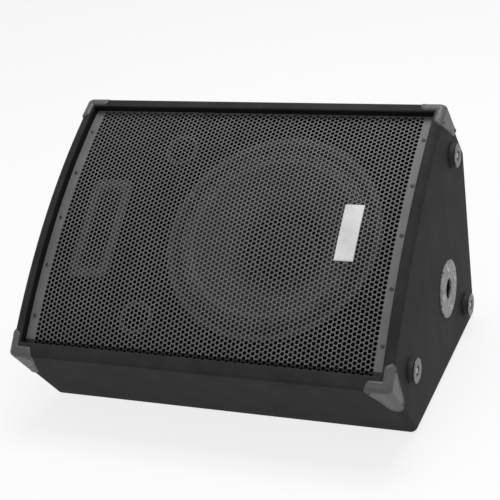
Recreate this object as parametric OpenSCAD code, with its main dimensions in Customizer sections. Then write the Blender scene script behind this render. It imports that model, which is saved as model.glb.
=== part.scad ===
// Stage monitor wedge: a plywood cabinet with a bowed, perforated steel front.
// X runs across the cabinet, Y from its front (-) to its back (+), and +Z is up.
// The origin is the centre of the floor face.
// Front coordinates: X as above, s up the slope from the kick panel's top edge,
// and n square to the slope, outwards.

/* [Cabinet] */
// Width of the cabinet over its end panels
body_w = 698; // [660:1:900]
// Length of the front along its slope
front_len = 528; // [500:1:640]
// Slope of the front above the floor
tilt = 36; // [32:0.5:40]
// Height of the kick panel, square to the slope
kick_len = 189; // [175:1:230]
// Height of the top chamfer, square to the slope
top_len = 155; // [140:1:190]
// Thickness of the plywood boards
board = 18; // [15:1:22]
// Thickness of the kick panel
kick_board = 24; // [18:1:30]
// Rise of the bowed front edge above its chord
bow = 29; // [20:1:36]

/* [Grille] */
// Depth of the grille below the bowed edge
grille_recess = 16; // [12:0.5:18]
// Thickness of the steel sheet
grille_t = 1.2; // [0.8:0.1:1.6]
// Gap between the grille and the cabinet walls
grille_gap = 1; // [0.5:0.1:2]
// Depth of the folded edge at the top and bottom of the grille
grille_fold = 9; // [6:0.5:10]
// Width of the curved rails behind the grille's ends
rail_w = 20; // [16:1:24]
// Thickness of the foam tape under the grille
tape_t = 2; // [1:0.5:3]
// Distance between the grille screws along each rail
grille_screw_pitch = 96; // [80:1:110]

/* [Badge] */
// Width of the badge plate
badge_w = 34; // [20:1:50]
// Length of the badge plate up the slope
badge_len = 105; // [60:1:140]
// Thickness of the badge plate
badge_t = 2; // [1:0.5:4]
// Distance from the right end panel to the middle of the badge
badge_inset = 100; // [60:1:150]

/* [Baffle] */
// Depth of the baffle's face below the chord of the front
baffle_drop = 25; // [22:0.5:32]
// Thickness of the baffle
baffle_t = 18; // [15:1:25]
// Width of the cleats that carry the baffle
cleat_w = 18; // [15:1:24]

/* [Woofer] */
// Outer diameter of the woofer's frame
woofer_d = 390; // [325:1:400]
// Distance from the right end panel to the woofer's frame
woofer_margin = 53; // [30:1:70]
// Thickness of the frame's flange
flange_t = 8; // [6:0.5:9]
// Diameter of the voice coil
coil_d = 76; // [60:1:90]
// Diameter of the woofer's magnet
magnet_d = 180; // [160:1:200]
// Travel of the cone each way from rest
cone_travel = 5; // [3:0.5:6]

/* [Horn] */
// Width of the horn's flange
horn_w = 78; // [70:1:90]
// Length of the horn's flange up the slope
horn_len = 200; // [180:1:230]
// Width of the band round the horn's mouth
horn_band = 16; // [12:1:18]
// Distance from the left end panel to the horn's flange
horn_margin = 36; // [30:1:50]
// Depth of the flare behind the baffle's face
horn_depth = 60; // [50:1:70]
// Diameter of the compression driver
driver_d = 90; // [80:1:96]
// Diameter of the horn's throat
throat_d = 25; // [20:1:26]

/* [Ports] */
// Bore of the port tubes
port_d = 48; // [40:1:52]
// Width of the flange round each port
port_flange = 7; // [6:0.5:9]
// Length of the port tubes behind the baffle's face
port_len = 110; // [80:1:120]
// Distance of the ports from the woofer's axis across the cabinet
port_x = 220; // [215:1:230]
// Distance of each port from the middle of the front, along the slope
port_s = 168; // [150:1:175]

/* [Pole socket] */
// Bore of the pole socket
pole_d = 36; // [35.2:0.1:38]
// Depth of the pole socket's bore
pole_depth = 85; // [60:1:110]
// Wall of the pole socket's tube
pole_wall = 4; // [3:0.5:6]
// Diameter of the pole socket's flange
pole_flange_d = 104; // [96:1:120]
// Thickness of the pole socket's flange
pole_flange_t = 3; // [2:0.5:5]
// Diameter of the circle of its screws
pole_screw_d = 76; // [66:1:84]
// Place of the pole socket behind the middle of the floor
pole_y = 34; // [0:1:60]
// Height of the pole socket
pole_z = 146; // [120:1:170]

/* [Feet] */
// Diameter of the end feet
foot_d = 44; // [36:1:50]
// Height of the end feet
foot_h = 12.5; // [8:0.5:16]
// Distance of the two front feet behind the chord of the front
foot_back = 83; // [70:1:95]
// Distance of the lower foot from the kick panel's face
foot_low = 72; // [60:1:90]
// Distance of the upper foot from the top panel's face
foot_top = 53; // [45:1:70]
// Distance of the rear foot from the rear face
foot_rear_in = 67; // [50:1:80]
// Height of the rear foot above the floor
foot_rear_up = 56; // [45:1:70]

/* [Corners] */
// Length of a corner protector's legs along the front's edges
corner_leg = 46; // [40:1:60]
// Length of a corner protector's leg down from the front
corner_drop = 82; // [60:1:95]
// Width of a leg at its tip
corner_tip = 17; // [14:1:18]
// Thickness of the corner protectors
corner_t = 2.2; // [1.5:0.1:3]

/* [Handle] */
// Length of the handle's opening
handle_len = 150; // [130:1:160]
// Height of the handle's opening
handle_high = 84; // [76:1:90]
// Depth of the handle's cup
handle_deep = 52; // [45:1:60]
// Width of the cup's rim
handle_rim = 11; // [9:1:14]
// Diameter of the handle's bar
bar_d = 20; // [16:1:24]
// Place of the handle behind the middle of the floor
handle_y = 92; // [80:1:94]
// Height of the handle
handle_z = 160; // [150:1:180]

/* [Terminals] */
// Width of the terminal dish's opening
dish_w = 130; // [120:1:160]
// Height of the terminal dish's opening
dish_high = 84; // [76:1:100]
// Depth of the terminal dish
dish_deep = 40; // [36:1:50]
// Height of the middle of the terminal dish
dish_z = 150; // [120:1:200]
// Bore of each speaker socket
jack_d = 27; // [26:0.5:30]
// Core of each speaker socket
jack_core = 12; // [10:0.5:13]
// Distance between the speaker sockets
jack_pitch = 56; // [50:1:70]

/* [Hidden] */
$fn = 64;

// Profile in (y, z), lettered round from the kick's foot
up_slope = [cos(tilt), sin(tilt)];
off_slope = [-sin(tilt), cos(tilt)];
floor_len = front_len * cos(tilt) + (top_len - kick_len) * sin(tilt);
toe = [-floor_len / 2, 0];
brow = toe + kick_len * off_slope;
crest = brow + front_len * up_slope;
shoulder = crest - top_len * off_slope;
heel = [shoulder[0], 0];

function unit(v) = v / norm(v);
function cross2(a, b) = a[0] * b[1] - a[1] * b[0];
// Inner corner of two boards that meet at q, of thickness t1 on p-q and t2 on q-r
function inner(p, q, r, t1, t2) =
    let (u = unit(q - p), w = unit(r - q), k = cross2(u, w)) q - t2 / k * u + t1 / k * w;

toe_in = inner(brow, toe, heel, kick_board, board);
heel_in = inner(toe, heel, shoulder, board, board);
shoulder_in = inner(heel, shoulder, crest, board, board);
brow_in = brow + kick_board * up_slope;
crest_in = crest - board * up_slope;
inner_w = body_w - 2 * board;

// Bowed front, in front coordinates
bow_r = (pow(front_len / 2, 2) + pow(bow, 2)) / (2 * bow);
grille_r = bow_r - grille_recess;
front_mid = (kick_board + front_len - board) / 2;
opening_len = front_len - kick_board - board;
grille_w = inner_w - 2 * grille_gap;
rail_end = 4;

screw_clear = 0.2;

woofer_x = body_w / 2 - board - woofer_margin - woofer_d / 2;
horn_x = -body_w / 2 + board + horn_margin + horn_w / 2;
vent_x = woofer_x - port_x;
cutout_d = woofer_d - 42;

module along_x(x0, x1) {
    translate([x0, 0, 0]) rotate([90, 0, 90]) linear_extrude(x1 - x0) children();
}

module on_front() {
    translate([0, brow[0], brow[1]]) rotate([tilt, 0, 0]) children();
}

// Stands children on a bowed surface of radius r, at distance s up the slope
module on_bow(x, s, r) {
    on_front() translate([x, front_len / 2, bow - bow_r])
        rotate([-asin((s - front_len / 2) / bow_r), 0, 0]) translate([0, 0, r]) children();
}

module mirror_x() {
    children();
    mirror([1, 0, 0]) children();
}

// Round ring from r0 to r1 between two heights
module ring(r0, r1, z0, z1) {
    translate([0, 0, z0]) difference() {
        cylinder(r = r1, h = z1 - z0);
        translate([0, 0, -1]) cylinder(r = r0, h = z1 - z0 + 2);
    }
}

module round_rect(w, h, r) {
    square([w - 2 * r, h], center = true);
    square([w, h - 2 * r], center = true);
    for (x = [-1, 1], y = [-1, 1]) translate([x * (w / 2 - r), y * (h / 2 - r)]) circle(r);
}

// Pan-head screw whose head sits on z = 0 and whose shank runs down
module pan_screw(head_r, head_h, shank_r, shank_len) {
    difference() {
        union() {
            cylinder(r = head_r, h = head_h);
            translate([0, 0, -shank_len]) cylinder(r = shank_r, h = shank_len + head_h / 2);
        }
        for (a = [0, 90]) rotate(a) translate([0, 0, head_h])
            cube([head_r * 1.1, head_r * 0.3, head_h], center = true);
    }
}

// ---- Cabinet ----

// The end of the cabinet seen along X: five straight edges and the bowed front
module outline() {
    polygon([toe, heel, shoulder, crest, brow]);
    translate(brow) rotate(tilt) intersection() {
        translate([front_len / 2, bow - bow_r]) circle(bow_r, $fn = 720);
        translate([0, -board]) square([front_len, board + bow + 1]);
    }
}

// A board between the end panels, cut from the outline by a zone in (y, z)
module cross_board(zone) {
    along_x(-inner_w / 2, inner_w / 2) intersection() {
        outline();
        polygon(zone);
    }
}

module end_panel_blank() {
    along_x(body_w / 2 - board, body_w / 2) outline();
}

module right_end_panel() {
    color([0.2, 0.2, 0.2]) difference() {
        end_panel_blank();
        at_pole() translate([0, 0, -board - 1])
            cylinder(d = pole_d + 2 * pole_wall + 2 * screw_clear, h = board + 2);
        at_pole_screws() translate([0, 0, -pole_screw_len])
            cylinder(r = pole_screw_r, h = pole_screw_len + 1);
        at_feet() translate([0, 0, -foot_screw_grip])
            cylinder(r = foot_screw_r, h = foot_screw_grip + 1);
        corner_screw_holes();
    }
}

module left_end_panel() {
    color([0.2, 0.2, 0.2]) difference() {
        mirror([1, 0, 0]) end_panel_blank();
        at_handle() translate([0, 0, -board - 1]) linear_extrude(board + 2)
            round_rect(handle_len + 2 * screw_clear, handle_high + 2 * screw_clear, cup_corner);
        at_handle() at_rim_screws(handle_len, handle_high, handle_rim)
            translate([0, 0, -board + 4]) cylinder(r = small_shank, h = board);
        corner_screw_holes();
    }
}

module kick_panel() {
    color([0.18, 0.18, 0.18]) difference() {
        cross_board([brow + board * off_slope, toe, toe_in, brow_in + board * off_slope]);
        corner_screw_holes();
    }
}

module floor_panel() {
    color([0.18, 0.18, 0.18]) cross_board([toe, heel, heel_in, toe_in]);
}

module rear_panel() {
    color([0.2, 0.2, 0.2]) difference() {
        cross_board([heel, shoulder, shoulder_in, heel_in]);
        on_rear() translate([0, 0, -board - 1]) linear_extrude(board + 2)
            round_rect(dish_w + 2 * screw_clear, dish_high + 2 * screw_clear, cup_corner);
        on_rear() at_rim_screws(dish_w, dish_high, dish_rim)
            translate([0, 0, -board + 4]) cylinder(r = small_shank, h = board);
    }
}

module top_panel() {
    color([0.18, 0.18, 0.18]) difference() {
        cross_board([shoulder, crest + board * off_slope, crest_in + board * off_slope,
            shoulder_in]);
        corner_screw_holes();
    }
}

// Profile of the cleats and of the space behind the baffle, in front coordinates
baffle_back = baffle_drop + baffle_t;
module cleat_profile() {
    for (s = [kick_board, front_len - board - cleat_w])
        translate([s, -baffle_back - cleat_w]) square(cleat_w);
}

brace_frame = 42;
brace_x = (horn_x + horn_w / 2 + vent_x - port_d / 2) / 2;
module window_brace() {
    p = [toe_in, heel_in, shoulder_in, crest_in - baffle_back * off_slope,
        brow_in - baffle_back * off_slope];
    window = [for (i = [0:4])
        inner(p[i], p[(i + 1) % 5], p[(i + 2) % 5], brace_frame, brace_frame)];
    color([0.6, 0.5, 0.35]) along_x(brace_x - board / 2, brace_x + board / 2) difference() {
        polygon(p);
        polygon(window);
        translate(brow) rotate(tilt) cleat_profile();
    }
}

module baffle() {
    color([0.1, 0.1, 0.1]) difference() {
        on_front() translate([0, front_mid, -baffle_back]) linear_extrude(baffle_t)
            difference() {
                square([inner_w, opening_len], center = true);
                translate([woofer_x, 0]) circle(d = cutout_d);
                translate([horn_x, 0]) round_rect(mouth_w + 2 * flare_wall + 2,
                    mouth_len + 2 * flare_wall + 2, mouth_corner + flare_wall);
                for (s = [-port_s, port_s]) translate([vent_x, s])
                    circle(d = port_d + 2 * port_wall + 2 * screw_clear);
            }
        at_woofer_screws() translate([0, 0, -woofer_screw_len])
            cylinder(r = woofer_screw_r, h = woofer_screw_len);
        at_horn_screws() translate([0, 0, -horn_screw_len])
            cylinder(r = small_shank, h = horn_screw_len);
    }
}

module baffle_cleats() {
    color([0.6, 0.5, 0.35]) on_front() {
        along_x(-inner_w / 2, inner_w / 2) cleat_profile();
        for (x = [-inner_w / 2, inner_w / 2 - cleat_w])
            translate([x, kick_board + cleat_w, -baffle_back - cleat_w])
                cube([cleat_w, opening_len - 2 * cleat_w, cleat_w]);
    }
}

// ---- Grille ----

module bow_disc(r) {
    translate([front_len / 2, bow - bow_r]) circle(r, $fn = 720);
}

// Strip of a bowed sheet from s0 to s1, from radius r0 to r1
module bow_strip(s0, s1, r0, r1) {
    intersection() {
        difference() {
            bow_disc(r1);
            bow_disc(r0);
        }
        translate([s0, -baffle_drop]) square([s1 - s0, baffle_drop + bow]);
    }
}

function bow_height(s, r) = sqrt(pow(r, 2) - pow(s - front_len / 2, 2)) - bow_r + bow;

grille_s0 = kick_board + grille_gap;
grille_s1 = front_len - board - grille_gap;
module grille() {
    fold_top = bow_height(grille_s0, grille_r) - grille_t / 2;
    rear_top = bow_height(grille_s1, grille_r) - grille_t / 2;
    color([0.3, 0.3, 0.3]) difference() {
        on_front() along_x(-grille_w / 2, grille_w / 2) {
            bow_strip(grille_s0, grille_s1, grille_r - grille_t, grille_r);
            translate([grille_s0, fold_top - grille_fold]) square([grille_t, grille_fold]);
            translate([grille_s1 - grille_t, rear_top - grille_fold])
                square([grille_t, grille_fold]);
        }
        at_grille_screws() translate([0, 0, -5]) cylinder(r = grille_shank, h = 10);
    }
}

rail_r = grille_r - grille_t - tape_t;
module grille_rails() {
    color([0.12, 0.12, 0.12]) difference() {
        on_front() for (x = [-inner_w / 2, inner_w / 2 - rail_w])
            along_x(x, x + rail_w) intersection() {
                bow_disc(rail_r);
                translate([kick_board + rail_end, -baffle_drop])
                    square([opening_len - 2 * rail_end, baffle_drop + bow]);
            }
        at_grille_screws() translate([0, 0, -grille_screw_len])
            cylinder(r = grille_shank, h = grille_screw_len);
    }
}

module grille_tapes() {
    color([0.08, 0.08, 0.08]) difference() {
        on_front() for (x = [-inner_w / 2, inner_w / 2 - rail_w]) along_x(x, x + rail_w)
            bow_strip(kick_board + rail_end, front_len - board - rail_end, rail_r,
                grille_r - grille_t);
        at_grille_screws() translate([0, 0, -grille_screw_len])
            cylinder(r = grille_shank, h = grille_screw_len);
    }
}

grille_shank = 1.75;
grille_screw_len = 14;
module at_grille_screws() {
    for (x = [-1, 1], i = [-2:2])
        on_bow(x * (inner_w / 2 - rail_w / 2), front_mid + i * grille_screw_pitch, grille_r)
            children();
}

module grille_screws() {
    color([0.35, 0.35, 0.35]) at_grille_screws()
        pan_screw(3.6, 2, grille_shank, grille_screw_len);
}

badge_x = inner_w / 2 - badge_inset;
module badge_plate() {
    color([0.9, 0.9, 0.9]) on_front() along_x(badge_x - badge_w / 2, badge_x + badge_w / 2)
        bow_strip(front_mid - badge_len / 2, front_mid + badge_len / 2, grille_r,
            grille_r + badge_t);
}

// ---- Corner protectors ----

corner_shank = 1.5;
corner_screw_len = 14;

// Two legs at right angles with a web between their tips: one along +x and one down
// along +y, which ends at drop
module corner_web(drop) {
    polygon([
        [-corner_t, -corner_t], [corner_leg, -corner_t], [corner_leg, corner_tip],
        [corner_tip, drop], [-corner_t, drop],
    ]);
}

// The right protector at the kick panel's edge, in front coordinates. lip is the
// thickness of the board whose edge it wraps.
module corner_blank(lip) {
    rise = bow_height(corner_leg, bow_r);
    intersection() {
        union() {
            translate([0, 0, rise]) rotate([90, 0, 90])
                translate([0, 0, body_w / 2]) linear_extrude(corner_t) mirror([0, 1])
                    corner_web(corner_drop + rise);
            rotate([90, 0, 0]) linear_extrude(corner_t)
                translate([body_w / 2, 0]) mirror([1, 0]) mirror([0, 1])
                    corner_web(corner_drop);
        }
        along_x(0, body_w / 2 + corner_t) intersection() {
            bow_disc(bow_r + corner_t);
            translate([-corner_t, -corner_drop])
                square([corner_leg + 2 * corner_t, 2 * corner_drop]);
        }
    }
    intersection() {
        along_x(body_w / 2 - corner_leg, body_w / 2 + corner_t)
            bow_strip(-corner_t, corner_leg, bow_r, bow_r + corner_t);
        union() {
            translate([body_w / 2 - corner_leg, -corner_t, -corner_leg])
                cube([corner_leg + corner_t, corner_t + lip - 3, 2 * corner_leg]);
            translate([body_w / 2 - board + 3, -corner_t, -corner_leg])
                cube([board - 3 + corner_t, corner_leg + corner_t, 2 * corner_leg]);
        }
    }
}

// Stands children on the three legs of the right protector at the kick's edge
module at_corner_legs() {
    reach = corner_leg - 9;
    in = corner_tip / 2;
    translate([body_w / 2 + corner_t, reach, bow_height(reach, bow_r) - in])
        rotate([0, 90, 0]) children();
    translate([body_w / 2 + corner_t, in, 9 - corner_drop])
        rotate([0, 90, 0]) children();
    translate([body_w / 2 - reach, -corner_t, -in]) rotate([90, 0, 0]) children();
}

module to_upper() {
    translate([0, front_len, 0]) mirror([0, 1, 0]) children();
}

module at_corner_screws() {
    on_front() mirror_x() {
        at_corner_legs() children();
        to_upper() at_corner_legs() children();
    }
}

module corner_screw_holes() {
    at_corner_screws() translate([0, 0, -corner_screw_len])
        cylinder(r = corner_shank, h = corner_screw_len + 1);
}

module corner(lip) {
    difference() {
        corner_blank(lip);
        at_corner_legs() translate([0, 0, -corner_screw_len])
            cylinder(r = corner_shank, h = corner_screw_len + 1);
    }
}

module corner_lower_right() { color([0.4, 0.4, 0.4]) on_front() corner(kick_board); }
module corner_lower_left() { mirror([1, 0, 0]) corner_lower_right(); }
module corner_upper_right() { color([0.4, 0.4, 0.4]) on_front() to_upper() corner(board); }
module corner_upper_left() { mirror([1, 0, 0]) corner_upper_right(); }

module corner_screws() {
    color([0.3, 0.3, 0.3]) at_corner_screws()
        pan_screw(3.2, 1.6, corner_shank, corner_screw_len);
}

// ---- End feet and pole socket ----

foot_cap_t = 3;
foot_screw_r = 2.5;
foot_screw_grip = 15;
foot_sink = 2.5;
foot_spots = [brow + foot_low * up_slope - foot_back * off_slope,
    crest - foot_top * up_slope - foot_back * off_slope,
    heel + [-foot_rear_in, foot_rear_up]];

// Stands children on the right end panel at a place in (y, z)
module on_end(p) {
    translate([body_w / 2, p[0], p[1]]) rotate([0, 90, 0]) children();
}

module at_feet() {
    for (p = foot_spots) on_end(p) children();
}

module foot(p) {
    color([0.08, 0.08, 0.08]) on_end(p) difference() {
        cylinder(d1 = foot_d, d2 = foot_d - 2, h = foot_h - foot_cap_t);
        translate([0, 0, -1]) cylinder(r = foot_screw_r, h = foot_h + 1);
    }
}

module foot_lower() { foot(foot_spots[0]); }
module foot_upper() { foot(foot_spots[1]); }
module foot_rear() { foot(foot_spots[2]); }

module foot_caps() {
    color([0.7, 0.7, 0.7]) at_feet() translate([0, 0, foot_h - foot_cap_t]) difference() {
        cylinder(d = foot_d - 2, h = foot_cap_t);
        translate([0, 0, -1]) cylinder(r = foot_screw_r, h = foot_cap_t + 2);
        translate([0, 0, foot_cap_t - foot_sink]) cylinder(r = 6, h = foot_sink + 1);
    }
}

module foot_screws() {
    color([0.3, 0.3, 0.3]) at_feet() translate([0, 0, foot_h - foot_sink])
        pan_screw(5, 2, foot_screw_r, foot_h - foot_sink + foot_screw_grip);
}

pole_spot = [pole_y, pole_z];
pole_screw_r = 2;
pole_screw_len = 14;
module at_pole() {
    on_end(pole_spot) children();
}

module at_pole_screws() {
    at_pole() for (a = [0:90:270]) rotate(a) translate([pole_screw_d / 2, 0, 0]) children();
}

module pole_socket() {
    tube_r = pole_d / 2 + pole_wall;
    inside = pole_depth - pole_flange_t;
    color([0.65, 0.65, 0.66]) difference() {
        at_pole() difference() {
            union() {
                cylinder(d = pole_flange_d, h = pole_flange_t);
                translate([0, 0, -inside - pole_wall])
                    cylinder(r = tube_r, h = inside + pole_wall + 1);
            }
            translate([0, 0, -inside]) cylinder(d = pole_d, h = pole_depth + 1);
        }
        at_pole_screws() translate([0, 0, -1]) cylinder(r = pole_screw_r, h = pole_flange_t + 2);
    }
}

module pole_socket_screws() {
    color([0.3, 0.3, 0.3]) at_pole_screws() translate([0, 0, pole_flange_t])
        pan_screw(4.2, 2, pole_screw_r, pole_flange_t + pole_screw_len);
}

// ---- Woofer, built on its own axis with z = 0 at the baffle's face ----

frame_r = woofer_d / 2;
cone_r = frame_r - 43;
roll_w = 16;
wall_t = 4;
cone_lip = 6;
neck_r = coil_d / 2 + 0.2;
basket_r = 100;
basket_h = 100;
neck_z = -basket_h + 26;
ledge_z = -84;
ledge_in = basket_r - wall_t - 6;
top_plate_t = 8;
magnet_t = 22;
yoke_t = 10;
plate_gap = 1.8;
pole_gap = 1.4;
magnet_top = -basket_h - top_plate_t;
yoke_top = magnet_top - magnet_t;
former_t = 0.8;
former_end = yoke_top + cone_travel + 7;
woofer_screw_r = 2.5;
woofer_screw_len = 14;
small_shank = 1.75;

module woofer_at() {
    on_front() translate([woofer_x, front_mid, -baffle_drop]) children();
}

module at_woofer_screws() {
    woofer_at() for (a = [22.5:45:360]) rotate(a) translate([frame_r - 7, 0, 0]) children();
}

module woofer_frame() {
    throat_r = cone_r + roll_w;
    rim_in = cutout_d / 2 - 2;
    wall_top = -baffle_t;
    color([0.15, 0.15, 0.15]) difference() {
        woofer_at() difference() {
            rotate_extrude($fn = 120) polygon([[throat_r, flange_t], [frame_r, flange_t],
                [frame_r, 0], [rim_in, 0], [rim_in, wall_top], [basket_r, ledge_z + 2],
                [basket_r, -basket_h], [neck_r + 6, -basket_h],
                [neck_r + 6, wall_t - basket_h], [basket_r - wall_t, wall_t - basket_h],
                [basket_r - wall_t, ledge_z - wall_t], [ledge_in, ledge_z - wall_t],
                [ledge_in, ledge_z], [basket_r - wall_t, ledge_z],
                [basket_r - wall_t, ledge_z + 2], [throat_r, wall_top + 2]]);
            for (a = [0:60:300]) rotate(a) translate([basket_r + 4, -34, ledge_z + 12])
                cube([80, 68, 46]);
        }
        at_woofer_screws() translate([0, 0, -1]) cylinder(r = woofer_screw_r, h = flange_t + 2);
    }
}

landing_t = 1.2;
module woofer_gasket() {
    color([0.35, 0.35, 0.35]) woofer_at()
        ring(cone_r + roll_w + 2, frame_r - 13, flange_t + landing_t, flange_t + 5);
}

module woofer_surround() {
    r = roll_w / 2;
    color([0.12, 0.12, 0.12]) woofer_at() rotate_extrude($fn = 120) {
        translate([cone_r - cone_lip, flange_t]) square([cone_lip, landing_t]);
        translate([cone_r + roll_w, flange_t]) square([11, landing_t]);
        translate([cone_r + r, flange_t]) intersection() {
            difference() {
                circle(r + landing_t);
                circle(r - 0.01);
            }
            translate([-2 * r, 0]) square(4 * r);
        }
    }
}

// Height of the cone's front face at radius r
function cone_z(r) = neck_z + 2.5
    + (flange_t - neck_z - 2.5) * (r - neck_r) / (cone_r - cone_lip - neck_r);

module woofer_cone() {
    lip_r = cone_r - cone_lip;
    color([0.3, 0.3, 0.3]) woofer_at() rotate_extrude($fn = 120) polygon([[neck_r, neck_z],
        [neck_r, neck_z + 2.5], [lip_r, flange_t], [cone_r, flange_t],
        [cone_r, flange_t - 1.5], [lip_r + 1, flange_t - 1.5]]);
}

cap_r = 57;
cap_rise = 20;
module woofer_dust_cap() {
    dome_r = (pow(cap_r, 2) + pow(cap_rise, 2)) / (2 * cap_rise);
    color([0.1, 0.1, 0.1]) woofer_at() translate([0, 0, cone_z(cap_r) + 0.1]) rotate_extrude()
        intersection() {
            translate([0, cap_rise - dome_r]) difference() {
                circle(dome_r, $fn = 180);
                circle(dome_r - 1, $fn = 180);
            }
            square([cap_r, cap_rise]);
        }
}

module voice_coil() {
    winding = 12;
    mid = -basket_h - top_plate_t / 2;
    color([0.75, 0.45, 0.25]) woofer_at() {
        ring(neck_r - former_t, neck_r, former_end, neck_z + 2.5);
        ring(neck_r, neck_r + 0.8, mid - winding / 2, mid + winding / 2);
    }
}

// A corrugated disc between the coil former and the frame's ledge
module woofer_spider() {
    t = 0.8;
    waves = 4;
    steps = 32;
    function wave(i) = [neck_r + (ledge_in - neck_r) * i / steps,
        ledge_z + 2.4 * sin(360 * waves * i / steps)];
    line = concat([for (i = [0:steps]) wave(i)], [[basket_r - wall_t - 1, ledge_z]]);
    last = len(line) - 1;
    color([0.7, 0.55, 0.2]) woofer_at() rotate_extrude($fn = 120) polygon(concat(line,
        [for (i = [last:-1:0]) line[i] + [0, t]]));
}

module woofer_top_plate() {
    color([0.5, 0.5, 0.5]) woofer_at()
        ring(neck_r + plate_gap, magnet_d / 2 - 8, magnet_top, -basket_h);
}

module woofer_magnet() {
    color([0.2, 0.2, 0.2]) woofer_at()
        ring(coil_d / 2 + 8, magnet_d / 2, yoke_top, magnet_top);
}

module woofer_yoke() {
    vent_r = 10;
    color([0.5, 0.5, 0.5]) woofer_at() {
        ring(vent_r, magnet_d / 2 - 8, yoke_top - yoke_t, yoke_top);
        ring(vent_r, neck_r - former_t - pole_gap, yoke_top, -basket_h);
    }
}

module woofer_screws() {
    color([0.3, 0.3, 0.3]) at_woofer_screws() translate([0, 0, flange_t])
        pan_screw(5.5, 3, woofer_screw_r, flange_t + woofer_screw_len);
}

// ---- Horn and compression driver, on their own axis ----

flare_wall = 3;
horn_flange_t = 5;
mouth_corner = 19;
mouth_w = horn_w - 2 * horn_band;
mouth_len = horn_len - 2 * horn_band;
horn_screw_len = 14;
front_plate_t = 8;
driver_magnet_t = 16;
rear_plate_t = 6;
dome_r = 23.7;
driver_top = -horn_depth - 6;
driver_seat = driver_top - front_plate_t - driver_magnet_t - rear_plate_t;
cover_h = 16;
clamp_t = 3;
dome_gap = 0.3;

module horn_at() {
    on_front() translate([horn_x, front_mid, -baffle_drop]) children();
}

module at_horn_screws() {
    horn_at() for (x = [-1, 1], s = [-1, 1])
        translate([x * (horn_w / 2 - 7), s * (horn_len / 2 - 12), 0]) children();
}

// Space between a rounded slot at the mouth and the round throat
module flare(grow, top) {
    hull() {
        translate([0, 0, top]) linear_extrude(0.1) round_rect(mouth_w + 2 * grow,
            mouth_len + 2 * grow, mouth_corner + grow, $fn = 32);
        translate([0, 0, -horn_depth]) cylinder(d = throat_d + 2 * grow, h = 0.1, $fn = 32);
    }
}

module horn_flare() {
    color([0.13, 0.13, 0.13]) difference() {
        horn_at() difference() {
            union() {
                linear_extrude(horn_flange_t) round_rect(horn_w, horn_len, 25);
                flare(flare_wall, 0);
                translate([0, 0, driver_top]) cylinder(d = throat_d + 30, h = 6.1);
            }
            flare(0, horn_flange_t);
            translate([0, 0, driver_top - 1]) cylinder(d = throat_d, h = 8);
        }
        at_horn_screws() translate([0, 0, -1]) cylinder(r = small_shank, h = horn_flange_t + 2);
    }
}

module horn_screws() {
    color([0.3, 0.3, 0.3]) at_horn_screws() translate([0, 0, horn_flange_t])
        pan_screw(3.6, 2, small_shank, horn_flange_t + horn_screw_len);
}

module driver_front_plate() {
    color([0.5, 0.5, 0.5]) horn_at() {
        ring(throat_d / 2, driver_d / 2, driver_top - front_plate_t, driver_top);
        ring(throat_d / 2, dome_r - 1.5, driver_seat + 3, driver_top - front_plate_t);
    }
}

module driver_magnet() {
    color([0.2, 0.2, 0.2]) horn_at() ring(dome_r + 3, driver_d / 2,
        driver_top - front_plate_t - driver_magnet_t, driver_top - front_plate_t);
}

module driver_rear_plate() {
    color([0.5, 0.5, 0.5]) horn_at() ring(dome_r + 1, driver_d / 2, driver_seat,
        driver_seat + rear_plate_t);
}

module driver_clamp_ring() {
    color([0.15, 0.15, 0.15]) horn_at()
        ring(dome_r + dome_gap, dome_r + 8, driver_seat - clamp_t, driver_seat);
}

// A shallow dome that bulges away from the throat, with a flat rim
module driver_diaphragm() {
    rise = 5;
    r = (pow(dome_r - 2, 2) + pow(rise, 2)) / (2 * rise);
    color([0.8, 0.8, 0.82]) horn_at() translate([0, 0, driver_seat - 1]) rotate_extrude() {
        intersection() {
            translate([0, r - rise]) difference() {
                circle(r, $fn = 120);
                circle(r - 0.4, $fn = 120);
            }
            translate([0, -rise]) square([dome_r - 2, rise]);
        }
        translate([dome_r - 2.2, -0.4]) square([2.2, 0.4]);
    }
}

module driver_cover() {
    wall = 2;
    bottom = driver_seat - cover_h;
    color([0.12, 0.12, 0.12]) horn_at() difference() {
        translate([0, 0, bottom]) cylinder(r = driver_d / 2 - 3, h = cover_h);
        translate([0, 0, bottom + wall]) cylinder(r = driver_d / 2 - 3 - wall, h = cover_h);
    }
}

// ---- Ports ----

port_wall = 3;
port_flange_t = 3;
module port_tube(s) {
    color([0.12, 0.12, 0.12]) on_front() translate([vent_x, front_mid + s, -baffle_drop]) {
        ring(port_d / 2, port_d / 2 + port_wall, -port_len, port_flange_t);
        ring(port_d / 2 + port_wall - 1, port_d / 2 + port_flange, 0, port_flange_t);
    }
}

module port_tube_upper() { port_tube(port_s); }
module port_tube_lower() { port_tube(-port_s); }

// ---- Crossover ----

net_w = 150;
net_d = 100;
net_t = 2;
post_h = 8;
net_x = -75;
net_y = -20;
net_top = board + post_h + net_t;

module crossover_board() {
    color([0.15, 0.35, 0.2]) translate([net_x, net_y, board + post_h])
        translate([-net_w / 2, -net_d / 2, 0]) cube([net_w, net_d, net_t]);
    color([0.7, 0.7, 0.7]) for (x = [-1, 1], y = [-1, 1])
        translate([net_x + x * (net_w / 2 - 7), net_y + y * (net_d / 2 - 7), board])
            cylinder(r = 4, h = post_h);
}

module crossover_coils() {
    color([0.75, 0.45, 0.25]) {
        translate([net_x - 48, net_y - 18, net_top]) ring(9, 20, 0, 22);
        translate([net_x + 50, net_y - 20, net_top]) ring(11, 22, 0, 26);
    }
}

module crossover_capacitors() {
    color([0.85, 0.8, 0.4]) for (i = [0:2])
        translate([net_x - 58 + 38 * i, net_y + 28, net_top + 9]) rotate([0, 90, 0])
            cylinder(r = 9, h = 32);
}

// ---- Recessed cups: terminal dish and handle ----

cup_corner = 10;
cup_wall = 3;
rim_t = 3;
dish_rim = 12;

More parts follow.
